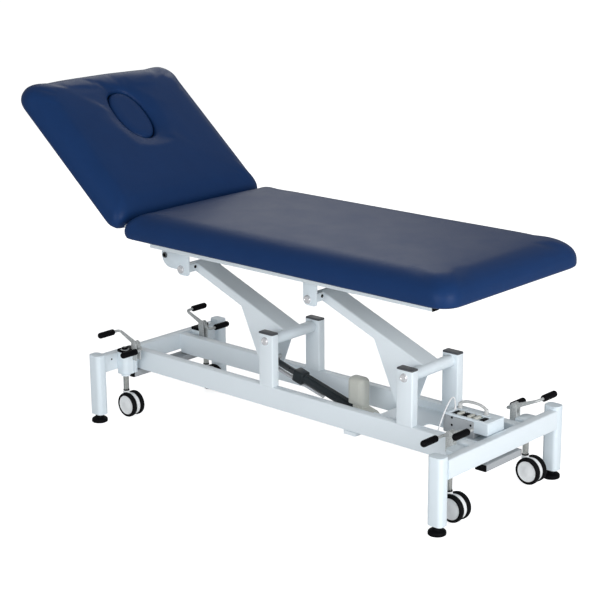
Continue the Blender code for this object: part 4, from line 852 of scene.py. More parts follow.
class EXAM_OT_arms(TableOperator, bpy.types.Operator):
    """Make the lift arms with their pivots and bolts"""

    bl_idname = "exam_table.arms"
    bl_label = "Lift arms"

    width = 0.080
    plate = 0.003
    depth = 0.0285
    crest = 0.018
    channel_corner = 0.005
    eye_round = 0.020
    lever_reach = 0.197
    pivot_radius = 0.019
    shaft_radius = 0.010
    pin_radius = 0.008
    bar = 0.028
    bar_corner = 0.0025
    bar_gap = 0.0065
    bolt_height = 0.0065
    post_face = 0.126
    post_thick = 0.030
    side_play = 0.0005
    weld_radius = 0.0016

    def channel_outline(self):
        """Section of the arm's channel: local X is across the arm and local Y is up."""
        half, top = self.width / 2, self.crest
        low = top - self.depth
        radius = self.channel_corner
        inner = radius - self.plate
        outer = [(half, low)] + arc((half - radius, top - radius), radius, 0, 90, 5)
        outer += arc((radius - half, top - radius), radius, 90, 180, 5) + [(-half, low)]
        inside = [(self.plate - half, low)] + arc((radius - half, top - radius), inner, 180, 90, 5)
        inside += arc((half - radius, top - radius), inner, 90, 0, 5) + [(half - self.plate, low)]
        return outer + inside

    def lever_outline(self):
        """Side plate below the channel, with the lower pivot at the origin and the arm towards -X."""
        eye = (LEVER_EYE[0], -LEVER_EYE[1])
        reach = (self.lever_reach, self.crest - self.depth)
        bearing = math.atan2(reach[1] - eye[1], reach[0] - eye[0])
        distance = math.hypot(reach[0] - eye[0], reach[1] - eye[1])
        leaves = math.degrees(bearing - math.acos(self.eye_round / distance)) + 360
        points = [(eye[0] - self.eye_round, reach[1])] + arc(eye, self.eye_round, 180, leaves, 16) + [reach]
        return [(-along, level) for along, level in points]

    def make_shell(self, body, where, lower, upper, steps):
        """Channel, lever plates, pivot tube and upper bar, welded together."""
        half = self.width / 2
        arm = new_shape()
        section = where @ Matrix.Translation((-ARM_LENGTH / 2, 0.0, 0.0)) @ END_ON
        add_plate(arm, self.channel_outline(), ARM_LENGTH, section, soft=0.0)
        for across in (-1, 1):
            middle = Matrix.Translation((0.0, across * (half - self.plate / 2), 0.0))
            add_plate(arm, self.lever_outline(), self.plate, where @ middle @ SIDE_ON, soft=0.0)
        tube_half = self.post_face - self.post_thick - self.side_play
        add_sleeve(arm, self.pivot_radius, self.shaft_radius, *crosswise(lower, tube_half), steps, 0.0012)
        corner = Vector((self.bar / 2, BRACKET_FACE - self.bar_gap, self.bar / 2))
        add_tube_box(arm, upper - corner, upper + corner, "Y", self.bar_corner)
        for across in (-1, 1):
            side = across * (half + 0.001)
            add_weld(arm, lower + Vector((0.0, side, 0.019)), lower + Vector((0.017, side, 0.006)),
                     self.weld_radius)
            side = across * half
            add_weld(arm, upper + Vector((0.014, side, -0.012)), upper + Vector((0.014, side, 0.012)),
                     self.weld_radius)
        place_piece(f"{body}_shell", arm, "white_coat", body, body)

    def execute(self, context):
        sizes = self.sizes(context)
        steps = sizes.round_steps
        half = self.width / 2
        for number, (lower, upper) in enumerate(zip(LOWER, UPPER), 1):
            body = f"lift_arm_{number}"
            where = Matrix.Translation(lower) @ Matrix.Rotation(ARM_ANGLE, 4, "Y")
            self.make_shell(body, where, lower, upper, steps)
            bolts = new_shape()
            for across in (-1, 1):
                for pivot, face in ((lower, self.post_face), (upper, BRACKET_FACE)):
                    seat = beside(pivot, across * (face + SEAT))
                    add_bolt(bolts, Matrix.Translation(seat) @ outward(across), sizes.bolt_radius,
                             self.bolt_height, steps)
            place_piece(f"lift_bolts_{number}", bolts, "chrome", body)
            pins = new_shape()
            add_rod(pins, self.shaft_radius, *crosswise(lower, self.post_face), steps)
            add_rod(pins, self.pin_radius, *crosswise(upper, BRACKET_FACE), steps)
            if number == 1:
                self.add_lever_pin(pins, where @ Vector((-LEVER_EYE[0], 0.0, -LEVER_EYE[1])), half, steps)
            place_piece(f"lift_pins_{number}", pins, "pedal_steel", body)
            plugs = new_shape()
            add_lathe(plugs, ((0.0, -0.002), (0.0055, -0.002), (0.0055, 0.0008), (0.0045, 0.0014),
                              (0.0, 0.0014)),
                      Matrix.Translation(upper + Vector((self.bar / 2, -half - 0.006, 0.002))) @ ALONG_X, 24)
            place_piece(f"lift_bar_plug_{number}", plugs, "rubber", body)
        return {"FINISHED"}

    def add_lever_pin(self, shape, eye, half, steps):
        """Pin through the two lever plates, in halves beside the actuator's eye, with hexagon heads."""
        for across in (-1, 1):
            start, end = beside(eye, across * 0.0145), beside(eye, across * (half + 0.003))
            add_rod(shape, self.pin_radius, start, end, steps)
            face = Matrix.Translation(beside(eye, across * half)) @ outward(across)
            add_lathe(shape, ((0.0, 0.0), (0.0125, 0.0), (0.0135, 0.0008), (0.0135, 0.0045),
                              (0.0125, 0.0055), (0.0, 0.0055)), face, 6)


class EXAM_OT_top_frame(TableOperator, bpy.types.Operator):
    """Make the top rails, the cross tubes with their brackets and the gas spring's pin"""

    bl_idname = "exam_table.top_frame"
    bl_label = "Top frame"

    bracket_round = 0.0195
    bracket_along = 0.056
    bracket_plate = 0.006
    bracket_corner = 0.014
    wing = (0.0725, 0.053, 0.045)
    wing_drop = 0.003
    wing_corner = 0.004
    tube = 0.040
    rail_trim = 0.002
    plug_inset = 0.0004
    pin_radius = 0.006

    def bracket_outline(self, x, z, top, winged):
        """Side of a hanging bracket; the first one has a wing that carries the gas spring."""
        left = x - self.bracket_round
        right = left + self.bracket_along
        points = [(right, top), (left, top)]
        if winged:
            length, height, radius = self.wing
            wing_top = z - self.wing_drop + height
            end = left - length
            small = self.wing_corner
            points += [(left, wing_top)] + arc((end + small, wing_top - small), small, 90, 180, 4)
            points += arc((end + radius, wing_top - height + radius), radius, 180, 270, 12)
            points += [(left, wing_top - height)]
        points += arc((x, z), self.bracket_round, 190, 270, 8)
        corner = self.bracket_corner
        points += arc((right - corner, z - self.bracket_round + corner), corner, 270, 360, 8)
        return points

    def make_rails(self):
        """Two top rails with a plug in each foot end."""
        plugs = new_shape()
        inset = self.plug_inset
        for side, _ in SIDES:
            low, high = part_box(f"top_rail_{side}")
            rail = new_shape()
            rail_end = high.x - self.rail_trim
            add_tube_box(rail, low, (rail_end, high.y, high.z), "X")
            place_piece(f"top_rail_{side}_tube", rail, "white_coat", "top", f"top_rail_{side}")
            add_block(plugs, (rail_end - 0.001, low.y + inset, low.z + inset),
                      (high.x + 0.0015, high.y - inset, high.z - inset), 0.0018, 3)
        place_piece("top_rail_plugs", plugs, "rubber", "top")

    def make_cross_member(self, number, upper, level):
        """Cross tube between the top rails, with two brackets hung from it."""
        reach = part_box("cross_member_1")[1].y
        half = self.tube / 2
        middle = upper.x - self.bracket_round + self.bracket_along / 2
        cross = new_shape()
        add_tube_box(cross, (middle - half, -reach, level - half), (middle + half, reach, level + half), "Y")
        outline = self.bracket_outline(upper.x, upper.z, level, number == 1)
        for across in (-1, 1):
            place = across * (BRACKET_FACE - self.bracket_plate / 2)
            middle_plane = Matrix.Translation((0.0, place, 0.0)) @ SIDE_ON
            add_plate(cross, outline, self.bracket_plate, middle_plane, 0.0009, 2)
            for face in (place - 0.0035, place + 0.0035):
                add_weld(cross, (middle - 0.018, face, level - half), (middle + 0.018, face, level - half))
            for x in (middle - half, middle + half):
                add_weld(cross, (x, across * reach, level - 0.016), (x, across * reach, level + 0.016))
        place_piece(f"cross_member_{number}_welded", cross, "white_coat", "top", f"cross_member_{number}")

    def execute(self, context):
        self.make_rails()
        low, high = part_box("top_rail_near")
        level = (low.z + high.z) / 2
        for number, upper in enumerate(UPPER, 1):
            self.make_cross_member(number, upper, level)
        place = joint_place("spring_turn")
        pin = new_shape()
        steps = self.sizes(context).round_steps
        add_rod(pin, self.pin_radius, *crosswise(place, BRACKET_FACE + 0.005), steps)
        for across in (-1, 1):
            face = Matrix.Translation(beside(place, across * BRACKET_FACE)) @ outward(across)
            add_lathe(pin, ((0.0, 0.0), (0.0095, 0.0), (0.0105, 0.0008), (0.0105, 0.0042), (0.0095, 0.005),
                            (0.0, 0.005)), face, 6)
        place_piece("spring_pin", pin, "dark_steel", "top")
        return {"FINISHED"}


class EXAM_OT_actuator(TableOperator, bpy.types.Operator):
    """Make the actuator's housing, motor cover, rod and guide"""

    bl_idname = "exam_table.actuator"
    bl_label = "Actuator"

    gear_half = 0.024
    gear_deep = 0.024
    gear_end = 0.076
    gear_screws = (0.030, 0.050)
    eye_round = 0.016
    eye_bore = 0.006
    eye_half = 0.013
    tube_radius = 0.0155
    rib_pitch = 0.0065
    rib_half = 0.0014
    collar_half = 0.0185
    collar_places = (0.149, 0.107)
    rod_radius = 0.010
    rod_in = 0.235
    guide_radius = 0.0055
    guide_drop = 0.022
    cover_corner = 0.018
    cover_dome = 0.017

    def make_housing(self, where, length):
        """Gearbox with its screws, and the ribbed tube with a collar at its open end."""
        collar_start, collar_end = (length - place for place in self.collar_places)
        shell = new_shape()
        gear_end, deep = self.gear_end, self.gear_deep
        outline = arc((0.0, 0.0), self.eye_round, 270, 450, 16)
        outline += [(-self.eye_round, deep), (-gear_end, deep), (-gear_end, -deep), (-self.eye_round, -deep)]
        gearbox = new_shape()
        add_plate(gearbox, outline, 2 * self.gear_half, where @ SIDE_ON, 0.003, 3)
        add_lathe(shell, ((self.rod_radius + 0.0006, collar_end), (self.tube_radius, collar_end),
                          (self.tube_radius, gear_end - 0.002), (0.0, gear_end - 0.002)),
                  where @ TOWARDS_HEAD, self.round_steps)
        for rib in (-1, 0, 1):
            middle = rib * self.rib_pitch
            add_block(shell, (-collar_start, middle - self.rib_half, self.tube_radius - 0.004),
                      (-gear_end, middle + self.rib_half, self.tube_radius + 0.0005), 0.0006, 2, where)
        half = self.collar_half
        add_block(shell, (-collar_end, -half, -self.guide_drop), (-collar_start, half, half), 0.005, 4, where)
        for along in self.gear_screws:
            for across in (-1, 1):
                screw = where @ Matrix.Translation((-along, across * self.gear_half, -0.016))
                add_lathe(gearbox, ((0.0, 0.0), (0.0045, 0.0), (0.0045, 0.0012), (0.0035, 0.0020),
                                    (0.0, 0.0012)), screw @ outward(across), 24)
        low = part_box("actuator_motor")[0]
        add_block(gearbox, (low.x + 0.023, -0.019, low.z - 0.034), (low.x + 0.061, 0.019, low.z), 0.002, 2)
        place_piece("actuator_gearbox", gearbox, "charcoal", "actuator", material="motor_plastic")
        place_piece("actuator_housing", shell, "charcoal", "actuator", "actuator_tube")

    def make_motor_cover(self):
        """Upright cover with a soft top and a thin panel on each side."""
        low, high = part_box("actuator_motor")
        cover = new_shape()
        add_block(cover, low, high, self.cover_corner, 8, upright_only=True)
        soften(cover, rim_at(cover, high.z), self.cover_dome, 8)
        soften(cover, rim_at(cover, low.z), 0.002, 3)
        add_block(cover, (low.x + 0.012, low.y - 0.0008, low.z + 0.004),
                  (high.x - 0.014, high.y + 0.0008, high.z - 0.014), 0.0035, 4)
        place_piece("actuator_motor_cover", cover, "motor_plastic", "actuator", "actuator_motor")

    def make_rod(self, where, length):
        """Rod with its eye and link, and the guide below it."""
        steps = self.round_steps
        rod = new_shape()
        rod_start = length - self.rod_in
        link_end = length - self.eye_round
        add_rod(rod, self.rod_radius, where @ Vector((-rod_start, 0.0, 0.0)),
                where @ Vector((-link_end - 0.002, 0.0, 0.0)), steps)
        eye = where @ Vector((-length, 0.0, 0.0))
        add_sleeve(rod, self.eye_round, self.eye_bore, *crosswise(eye, self.eye_half), steps, 0.001)
        low_end = -self.guide_drop - self.guide_radius - FINE_EDGE
        add_block(rod, (-link_end, -0.010, low_end), (-link_end + 0.007, 0.010, 0.010), 0.002, 3, where)
        place_piece("actuator_rod_bar", rod, "dark_steel", "actuator_rod", "actuator_rod")
        guide = new_shape()
        add_rod(guide, self.guide_radius + FINE_EDGE, where @ Vector((-rod_start, 0.0, -self.guide_drop)),
                where @ Vector((-link_end + 0.002, 0.0, -self.guide_drop)), steps)
        place_piece("actuator_guide_bar", guide, "chrome", "actuator_rod")

    def execute(self, context):
        self.round_steps = self.sizes(context).round_steps
        lever = LOWER[0] + Matrix.Rotation(ARM_ANGLE, 3, "Y") @ Vector((-LEVER_EYE[0], 0.0, -LEVER_EYE[1]))
        length = (lever - joint_place("actuator_turn")).length
        self.make_housing(ACTUATOR_FRAME, length)
        self.make_motor_cover()
        self.make_rod(ACTUATOR_FRAME, length)
        return {"FINISHED"}


class EXAM_OT_spring(TableOperator, bpy.types.Operator):
    """Make the gas spring under the head section"""

    bl_idname = "exam_table.spring"
    bl_label = "Gas spring"

    radius = 0.011
    rod_radius = 0.005
    rod_play = 0.0004
    body = 0.175
    pin_radius = 0.006
    lower_eye_half = 0.009
    upper_eye_half = 0.008
    upper_eye = (0.009, 0.0045)
    rod_start = 0.104

    def execute(self, context):
        steps = self.sizes(context).round_steps
        where = SPRING_FRAME @ TOWARDS_HEAD
        radius, body, bore = self.radius, self.body, self.rod_radius + self.rod_play
        to_spring = SPRING_FRAME.inverted()
        far = max(-(to_spring @ vertex.co).x for vertex in NODES["spring_rod"].data.vertices)
        length = far - self.upper_eye[0]
        cylinder = new_shape()
        add_sleeve(cylinder, 2 * self.pin_radius, self.pin_radius + self.rod_play,
                   *crosswise(joint_place("spring_turn"), self.lower_eye_half), steps)
        add_lathe(cylinder, ((0.0, 0.011), (radius * 0.55, 0.011), (radius * 0.62, 0.016),
                             (radius * 0.95, 0.0185), (radius, 0.021), (radius, body - 0.008),
                             (radius * 0.93, body - 0.005), (radius * 0.93, body - 0.004),
                             (radius, body - 0.003), (radius * 0.85, body), (bore, body), (bore, 0.016),
                             (0.0, 0.016)), where, steps)
        place_piece("spring_cylinder_painted", cylinder, "charcoal", "spring", "spring_cylinder")
        rod = new_shape()
        rod_end = length - 0.0085
        add_lathe(rod, ((0.0, self.rod_start), (self.rod_radius, self.rod_start), (self.rod_radius, rod_end),
                        (0.0, rod_end)), where, steps)
        end = SPRING_FRAME @ Vector((-length, 0.0, 0.0))
        add_sleeve(rod, *self.upper_eye, *crosswise(end, self.upper_eye_half), steps)
        place_piece("spring_rod_bright", rod, "chrome", "spring_rod", "spring_rod")
        return {"FINISHED"}


class EXAM_OT_castors(TableOperator, bpy.types.Operator):
    """Make the castor housings, stems, hoods and wheels"""

    bl_idname = "exam_table.castors"
    bl_label = "Castors"

    housing_bottom = 0.150
    housing_tops = {"head": 0.227, "foot": 0.2215}
    housing_reach = 0.042
    housing_length = 0.057
    housing_grooves = (-0.0105, -0.0205)
    groove = 0.003
    outer_wall = 0.0125
    outer_corner = 0.017
    inner_corner = 0.005
    beam_gap = 0.028
    guide_bush = (0.0155, 0.0101)
    cap_thick = 0.010
    cap_inset = 0.0005
    washer_radius = 0.0145
    washer_thick = 0.0020
    nut_radius = 0.0110
    nut_top = 0.0090
    neck_radius = 0.0060
    neck_play = 0.0006
    neck_rise = 0.0105
    hub_radius = 0.0112
    hood_width = 0.015
    hood_share = 0.9
    fork_top = 0.0925
    axle_radius = 0.005
    wheel_gap = 0.0015
    wheel_steps = 64

    def housing_outline(self, out, across, inset=0.0, grooves=()):
        """Plan of a housing about its middle, with upright grooves on the side away from its beam."""
        half_x, half_y = self.housing_reach / 2 - inset, self.housing_length / 2 - inset
        large, small = self.outer_corner - inset, self.inner_corner - inset
        groove = self.groove
        points = arc((half_x - small, half_y - small), small, 0, 90, 8)
        points += arc((large - half_x, half_y - large), large, 90, 180, 8)
        for place in grooves:
            points += [(-half_x, place + groove / 2), (groove - half_x, place + groove / 2),
                       (groove - half_x, place - groove / 2), (-half_x, place - groove / 2)]
        points += arc((small - half_x, small - half_y), small, 180, 270, 8)
        points += arc((half_x - small, small - half_y), small, 270, 360, 8)
        turned = [(out * a, across * b) for a, b in points]
        return turned if out * across > 0 else turned[::-1]

    def make_housing(self, end, tag, out, across, stem):
        """Housing on the end beam, with cap and nut at the head end; returns the level of the neck."""
        steps = self.round_steps
        housing_top = self.housing_tops[end]
        centre = Vector((stem.x + out * (self.beam_gap + FINE_EDGE - self.housing_reach / 2),
                         across * (abs(stem.y) + self.outer_wall - self.housing_length / 2), 0.0))
        housing = new_shape()
        middle = (self.housing_bottom + housing_top) / 2
        add_plate(housing, self.housing_outline(out, across, grooves=self.housing_grooves),
                  housing_top - self.housing_bottom, Matrix.Translation(above(centre, middle)), FINE_EDGE, 2)
        foot = Vector((stem.x, stem.y, self.housing_bottom))
        add_sleeve(housing, *self.guide_bush, above(foot, -0.004), above(foot, 0.002), steps)
        place_piece(f"castor_housing_{tag}", housing, "white_coat", "base")
        if end == "foot":
            return housing_top - self.neck_rise - FINE_EDGE
        cap = new_shape()
        add_plate(cap, self.housing_outline(out, across, inset=self.cap_inset), self.cap_thick,
                  Matrix.Translation(above(centre, housing_top + self.cap_thick / 2)), 0.002, 3)
        place_piece(f"guide_cap_{tag}", cap, "rubber", "base")
        top = housing_top + self.cap_thick
        seat = Vector((stem.x, stem.y, top))
        washer_top = above(seat, self.washer_thick)
        bore = self.neck_radius + self.neck_play
        washer = new_shape()
        add_sleeve(washer, self.washer_radius, bore, seat, washer_top, steps)
        place_piece(f"guide_washer_{tag}", washer, "pedal_steel", "base")
        nut = new_shape()
        add_sleeve(nut, self.nut_radius, bore, washer_top, above(seat, self.nut_top), 6, 0.0008)
        place_piece(f"guide_nut_{tag}", nut, "rubber", "base")
        return top

    def make_stem(self, tag, swivel, top, radius):
        """Stem with a thinner neck that ends above the given level, and the ring at its foot."""
        neck, neck_top = self.neck_radius, top + self.neck_rise
        foot = self.fork_top + SEAT
        stem = new_shape()
        add_lathe(stem, ((0.0, foot), (radius - 0.001, foot), (radius, foot + 0.001), (radius, top - 0.006),
                         (neck, top - 0.004), (neck, neck_top - 0.001), (neck - 0.001, neck_top),
                         (0.0, neck_top)),
                  Matrix.Translation((swivel.x, swivel.y, 0.0)), self.round_steps)
        place_piece(f"castor_stem_{tag}_bar", stem, "chrome", f"stem_{tag}", f"castor_stem_{tag}",
                    material="stem_steel")
        ring = new_shape()
        add_sleeve(ring, radius + 0.0012, radius - 0.001, (swivel.x, swivel.y, foot + 0.0005),
                   (swivel.x, swivel.y, foot + 0.0045), self.round_steps)
        place_piece(f"stem_ring_{tag}", ring, "rubber", f"stem_{tag}")

    def make_hood(self, tag, swivel, axle, wheel_radius):
        """Hood between the two wheels, with the hub that turns on the stem."""
        drum = wheel_radius * self.hood_share
        half, hub, top = self.hood_width / 2, self.hub_radius, self.fork_top
        hood = new_shape()
        add_plate(hood, arc((axle.x, axle.z), drum, 0, 360 - 360 / 64, 63), self.hood_width,
                  Matrix.Translation((0.0, swivel.y, 0.0)) @ SIDE_ON, 0.0015, 3)
        add_block(hood, (swivel.x - hub + 0.001, swivel.y - half, axle.z + drum * 0.55),
                  (swivel.x + hub, swivel.y + half, top - 0.004), 0.003, 3)
        add_lathe(hood, ((0.0, top - 0.016), (hub - 0.002, top - 0.016), (hub, top - 0.014),
                         (hub, top - 0.002), (hub - 0.0015, top), (0.0, top)),
                  Matrix.Translation((swivel.x, swivel.y, 0.0)), self.round_steps)
        place_piece(f"castor_hood_{tag}", hood, "castor_plastic", f"castor_{tag}", f"castor_fork_{tag}")

    def make_wheels(self, tag, axle, sizes):
        """Two wheels on one axle: tyres, and discs with a shallow dish and a raised hub."""
        radius = sizes.wheel_radius
        inner = radius - sizes.tyre_depth
        start = self.hood_width / 2 + self.wheel_gap
        stop = start + sizes.wheel_width
        tyres, discs = new_shape(), new_shape()
        for face in (-1, 1):
            where = Matrix.Translation(axle) @ outward(face)
            add_lathe(tyres, ((inner, start), (radius - 0.004, start), (radius - 0.0012, start + 0.0015),
                              (radius, start + 0.004), (radius, stop - 0.006),
                              (radius - 0.0012, stop - 0.0025), (radius - 0.004, stop - 0.0004),
                              (inner + 0.002, stop), (inner, stop - 0.001), (inner, start)),
                      where, self.wheel_steps)
            add_lathe(discs, ((0.0, start), (inner - 0.0003, start), (inner - 0.0003, stop - 0.0024),
                              (inner - 0.0015, stop - 0.0014), (inner - 0.003, stop - 0.0022),
                              (inner * 0.80, stop - 0.0026), (inner * 0.36, stop - 0.0030),
                              (inner * 0.33, stop - 0.0026), (inner * 0.28, stop - 0.0023),
                              (0.0, stop - 0.0026)), where, self.wheel_steps)
        add_rod(discs, self.axle_radius, *crosswise(axle, start + 0.002), 24)
        place_piece(f"castor_tyres_{tag}", tyres, "tyre", f"wheels_{tag}", f"castor_wheels_{tag}")
        place_piece(f"castor_discs_{tag}", discs, "castor_plastic", f"wheels_{tag}")

    def execute(self, context):
        sizes = self.sizes(context)
        self.round_steps = sizes.round_steps
        for end, out, side, across in CORNERS:
            tag = f"{end}_{side}"
            swivel = joint_place(f"castor_swivel_{tag}")
            axle = joint_place(f"wheel_spin_{tag}")
            top = self.make_housing(end, tag, out, across, swivel)
            self.make_stem(tag, swivel, top, sizes.stem_radius)
            self.make_hood(tag, swivel, axle, sizes.wheel_radius)
            self.make_wheels(tag, axle, sizes)
        return {"FINISHED"}


class EXAM_OT_pedals(TableOperator, bpy.types.Operator):
    """Make the rocker pedals, their brackets and grips"""

    bl_idname = "exam_table.pedals"
    bl_label = "Pedals"

    clevis_foot = 0.198
    clevis_web = 0.007
    clevis_plate = 0.005
    clevis_round = 0.012
    clevis_gap = 0.002
    web_half = (0.002, 0.009)
    web_top = 0.231
    plate = 0.008
    bore = 0.0052
    long_reach = 0.0863
    short_reach = 0.0347
    rod_radius = 0.005
    bend_radius = 0.012
    grip_inset = 0.004
    grip_ribs = 9
    tilt = math.radians(23.0)

    def bar_outline(self, out):
        """Side of a rocker: broad at its pivot and slimmer towards the bends at its two ends."""
        points = arc((self.long_reach - 0.012, 0.0), 0.0044, 270, 450, 8)
        points += [(0.013, 0.0070), (-0.013, 0.0070)]
        points += arc((0.011 - self.short_reach, 0.0), 0.0050, 90, 270, 8)
        points += [(-0.013, -0.0070), (0.013, -0.0070)]
        return [(out * a, b) for a, b in points]

    def make_clevis(self, tag, out, pivot):
        """Two plates and a web that carry a pedal's pin."""
        radius, thick = self.clevis_round, self.clevis_plate
        outline = [(pivot.x - radius, self.clevis_foot), (pivot.x + radius, self.clevis_foot)]
        outline += arc((pivot.x, pivot.z), radius, 0, 180, 20)
        clevis = new_shape()
        for face in (-1, 1):
            place = pivot.y + face * (self.plate / 2 + self.clevis_gap + thick / 2)
            add_plate(clevis, outline, thick, Matrix.Translation((0.0, place, 0.0)) @ SIDE_ON, 0.0008, 2)
            add_lathe(clevis, ((0.0, 0.0), (0.0046, 0.0), (0.0050, 0.0004), (0.0050, 0.0014),
                               (0.0040, 0.0020), (0.0, 0.0020)),
                      Matrix.Translation((pivot.x, place + face * thick / 2, pivot.z)) @ outward(face), 24)
        web = pivot.x + out * self.clevis_web
        web_x, web_y = self.web_half
        add_block(clevis, (web - web_x, pivot.y - web_y, self.clevis_foot),
                  (web + web_x, pivot.y + web_y, self.web_top), 0.0008, 2)
        place_piece(f"pedal_clevis_{tag}", clevis, "pedal_steel", "base")

    def make_rocker(self, tag, out, across, pivot, sizes):
        """Rocker bar on its pin, bent sideways at both ends into a gripped foot rest."""
        steps = sizes.round_steps
        where = Matrix.Translation(pivot) @ Matrix.Rotation(-out * self.tilt, 4, "Y")
        half = self.plate / 2
        rocker, grips = new_shape(), new_shape()
        add_sleeve(rocker, self.clevis_round - 0.0005, self.bore, *crosswise(pivot, half), steps)
        add_rod(rocker, self.rod_radius, *crosswise(pivot, half + 0.007), 24)
        add_plate(rocker, self.bar_outline(out), self.plate - 0.001, where @ SIDE_ON, 0.001, 2)
        stem_y = abs(joint_place(f"castor_swivel_{tag}").y)
        start = across * (stem_y - self.grip_inset - abs(pivot.y))
        for place in (out * self.long_reach, -out * self.short_reach):
            line = bent([(place * 0.5, 0.0, 0.0), (place, 0.0, 0.0), (place, start + across * 0.010, 0.0)],
                        self.bend_radius)
            add_sweep(rocker, [where @ point for point in line], self.rod_radius * 0.92)
            grip_start = where @ Vector((place, start, 0.0))
            grip_end = where @ Vector((place, start + across * sizes.grip_length, 0.0))
            self.add_grip(grips, grip_start, grip_end, sizes.grip_radius, steps)
        place_piece(f"pedal_{tag}_rocker", rocker, "pedal_steel", f"pedal_{tag}", f"pedal_{tag}")
        place_piece(f"pedal_grips_{tag}", grips, "rubber", f"pedal_{tag}")

    def add_grip(self, shape, start, end, radius, steps):
        """Ribbed sleeve with a rounded outer end."""
        where, length = line_frame(start, end)
        profile = [(0.0, 0.0), (radius * 0.78, 0.0), (radius * 0.92, 0.0012), (radius, 0.0035)]
        first, last = 0.008, length - 0.014
        for rib in range(self.grip_ribs):
            place = first + (last - first) * rib / (self.grip_ribs - 1)
            profile += [(radius, place - 0.0016), (radius * 0.955, place - 0.0007),
                        (radius * 0.955, place + 0.0007), (radius, place + 0.0016)]
        for angle in range(0, 91, 15):
            turn = math.radians(angle)
            profile.append((radius * math.cos(turn), length - radius + radius * math.sin(turn)))
        profile[-1] = (0.0, length)
        add_lathe(shape, profile, where, steps)

    def execute(self, context):
        for end, out, side, across in CORNERS:
            tag = f"{end}_{side}"
            pivot = joint_place(f"pedal_{tag}")
            self.make_clevis(tag, out, pivot)
            self.make_rocker(tag, out, across, pivot, self.sizes(context))
        return {"FINISHED"}


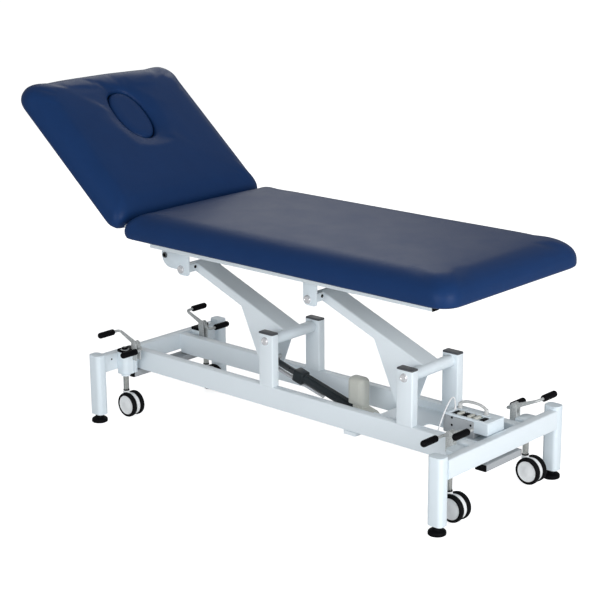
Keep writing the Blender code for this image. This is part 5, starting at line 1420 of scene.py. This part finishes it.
class EXAM_OT_controls(TableOperator, bpy.types.Operator):
    """Make the control box, its sockets and its two leads"""

    bl_idname = "exam_table.controls"
    bl_label = "Controls"

    overhang = 0.050
    step = 0.019
    lid = 0.007
    slot_inset = (0.016, 0.010, 0.022)
    slot_past_middle = 0.008
    screws = ((0.20, 0.50), (0.20, 0.93), (0.62, 0.76))
    sockets = (0.10, 0.36, 0.88)
    connectors = (0.22, 0.52, 0.70)
    loop_ends = (0.10, 0.31)
    loop_side = 0.25
    loop_rise = 0.032
    thin_step = 0.0045
    thin_start = -0.078
    thin_middle = -0.039
    thin_rise = 0.080

    def make_lid(self, low, high, slot_low, slot_high, lid_low, body_end):
        """Lid that stands past the box, with a long slot for the sockets."""
        lid = new_shape()
        add_block(lid, (body_end - 0.004, low.y + 0.001, low.z + self.step),
                  (high.x, high.y - 0.001, lid_low + 0.002), 0.003, 4)
        for start, end in (((low.x, low.y), (high.x, slot_low.y)), ((low.x, slot_high.y), (high.x, high.y)),
                           ((low.x, slot_low.y - 0.004), (slot_low.x, slot_high.y + 0.004)),
                           ((slot_high.x, slot_low.y - 0.004), (high.x, slot_high.y + 0.004))):
            add_block(lid, (*start, lid_low), (*end, high.z), 0.0020, 3)
        place_piece("control_lid", lid, "control_plastic", "base", material="white_coat")

    def make_sockets(self, low, high, slot_low, slot_high, lid_low):
        """Screws on the box's near side, the sockets in the slot, and a thin black sheet on the slot's floor that
        paints the shade in the slot.
        """
        dark = new_shape()
        for along, level in self.screws:
            place = (low.x + (high.x - low.x) * along, low.y, low.z + (lid_low - low.z) * level)
            add_lathe(dark, ((0.0, -0.0005), (0.0036, -0.0005), (0.0036, 0.0006), (0.0028, 0.0012),
                             (0.0, 0.0006)), Matrix.Translation(place) @ SIDE_ON, 24)
        for place in self.sockets:
            x = slot_low.x + (slot_high.x - slot_low.x) * place
            add_block(dark, (x - 0.007, slot_low.y + 0.004, lid_low - 0.002),
                      (x + 0.007, slot_high.y - 0.004, high.z - 0.002), 0.0012, 2)
        # Thin black sheet over the slot's floor: painted shade inside the slot.
        add_block(dark, (slot_low.x - 0.002, slot_low.y - 0.002, lid_low - 0.001),
                  (slot_high.x + 0.002, slot_high.y + 0.002, lid_low + 0.0005), 0.0002, 1)
        place_piece("control_sockets", dark, "rubber", "base")
        pale = new_shape()
        for place in self.connectors:
            x = slot_low.x + (slot_high.x - slot_low.x) * place
            add_block(pale, (x - 0.0055, slot_low.y + 0.006, lid_low - 0.002),
                      (x + 0.0055, slot_high.y - 0.006, high.z + 0.001), 0.0015, 3)
        place_piece("control_connectors", pale, "motor_plastic", "base")

    def make_lead(self, node, name, slot, radius, knots):
        """Lead along one smooth arch with a gland at each end; both ends go into the object."""
        root = Vector((0.0, 0.0, 2 * radius))
        start, rise, fall, stop = (Vector(knot) for knot in knots)
        line = [start, *interpolate_bezier(start + root, rise, fall, stop + root, 40), stop]
        shape = new_shape()
        add_sweep(shape, line, radius)
        lead = place_piece(name, shape, slot, "base", node)
        shape = new_shape()
        for place in (start, stop):
            add_lathe(shape, ((radius * 0.9, 0.0), (radius * 1.9, 0.0), (radius * 1.9, radius * 0.7),
                              (radius * 1.5, radius), (radius * 1.35, radius * 3.2),
                              (radius * 1.05, radius * 3.8), (radius * 0.9, radius * 3.8)),
                      Matrix.Translation(place), 24)
        glands = place_piece(f"{name}_glands", shape, slot, "base")

    def execute(self, context):
        sizes = self.sizes(context)
        low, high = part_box("control_box")
        length = high.x - low.x
        middle_y = (low.y + high.y) / 2
        lid_low = high.z - self.lid
        body_end = high.x - self.overhang
        box = new_shape()
        add_block(box, low, (body_end, high.y, lid_low - 0.0006), 0.003, 4)
        place_piece("control_box_shell", box, "control_plastic", "base", "control_box")

        start_inset, side_inset, end_inset = self.slot_inset
        slot_low = Vector((low.x + start_inset, low.y + side_inset, 0.0))
        slot_high = Vector((high.x - end_inset, middle_y + self.slot_past_middle, 0.0))
        self.make_lid(low, high, slot_low, slot_high, lid_low, body_end)
        self.make_sockets(low, high, slot_low, slot_high, lid_low)

        top = high.z + SEAT
        y = middle_y + (high.y - low.y) * self.loop_side
        first, last = low.x + length * self.loop_ends[0], high.x - length * self.loop_ends[1]
        self.make_lead("cable_loop", "thick_lead", "cable", sizes.thick_lead,
                       ((first, y, top), (first, y, top + self.loop_rise), (last, y, top + self.loop_rise),
                        (last, y, top)))
        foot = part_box("cable_thin")[0].z
        first, last = low.x + 2 * self.thin_step, low.x + 3 * self.thin_step
        self.make_lead("cable_thin", "thin_lead", "thin_cable", sizes.thin_lead,
                       ((first, self.thin_start, foot),
                        (first, self.thin_middle, foot - SEAT + self.thin_rise),
                        (last, middle_y, top + self.thin_rise), (last, middle_y, top)))
        return {"FINISHED"}


class EXAM_PT_table(bpy.types.Panel):
    """Buttons for the table's pieces"""

    bl_label = "Examination table"
    bl_space_type = "VIEW_3D"
    bl_region_type = "UI"
    bl_category = "Exam table"

    def draw(self, context):
        column = self.layout.column()
        for operator in OPERATORS:
            column.operator(operator.bl_idname)
        for group in (context.scene.table_sizes, context.scene.table_colours):
            box = self.layout.box()
            for name in group.__annotations__:
                box.prop(group, name)


OPERATORS = (EXAM_OT_finishes, EXAM_OT_stage, EXAM_OT_legs, EXAM_OT_base, EXAM_OT_arms, EXAM_OT_top_frame,
             EXAM_OT_actuator, EXAM_OT_spring, EXAM_OT_castors, EXAM_OT_pedals, EXAM_OT_controls,
             EXAM_OT_cushions)
CLASSES = (TableSizes, TableColours, *OPERATORS, EXAM_PT_table)


def register():
    for entry in CLASSES:
        bpy.utils.register_class(entry)
    bpy.types.Scene.table_sizes = PointerProperty(type=TableSizes)
    bpy.types.Scene.table_colours = PointerProperty(type=TableColours)


def unregister():
    del bpy.types.Scene.table_colours
    del bpy.types.Scene.table_sizes
    for entry in reversed(CLASSES):
        bpy.utils.unregister_class(entry)


def main():
    register()
    for operator in OPERATORS:
        group, name = operator.bl_idname.split(".")
        getattr(getattr(bpy.ops, group), name)()


if __name__ == "__main__":
    main()
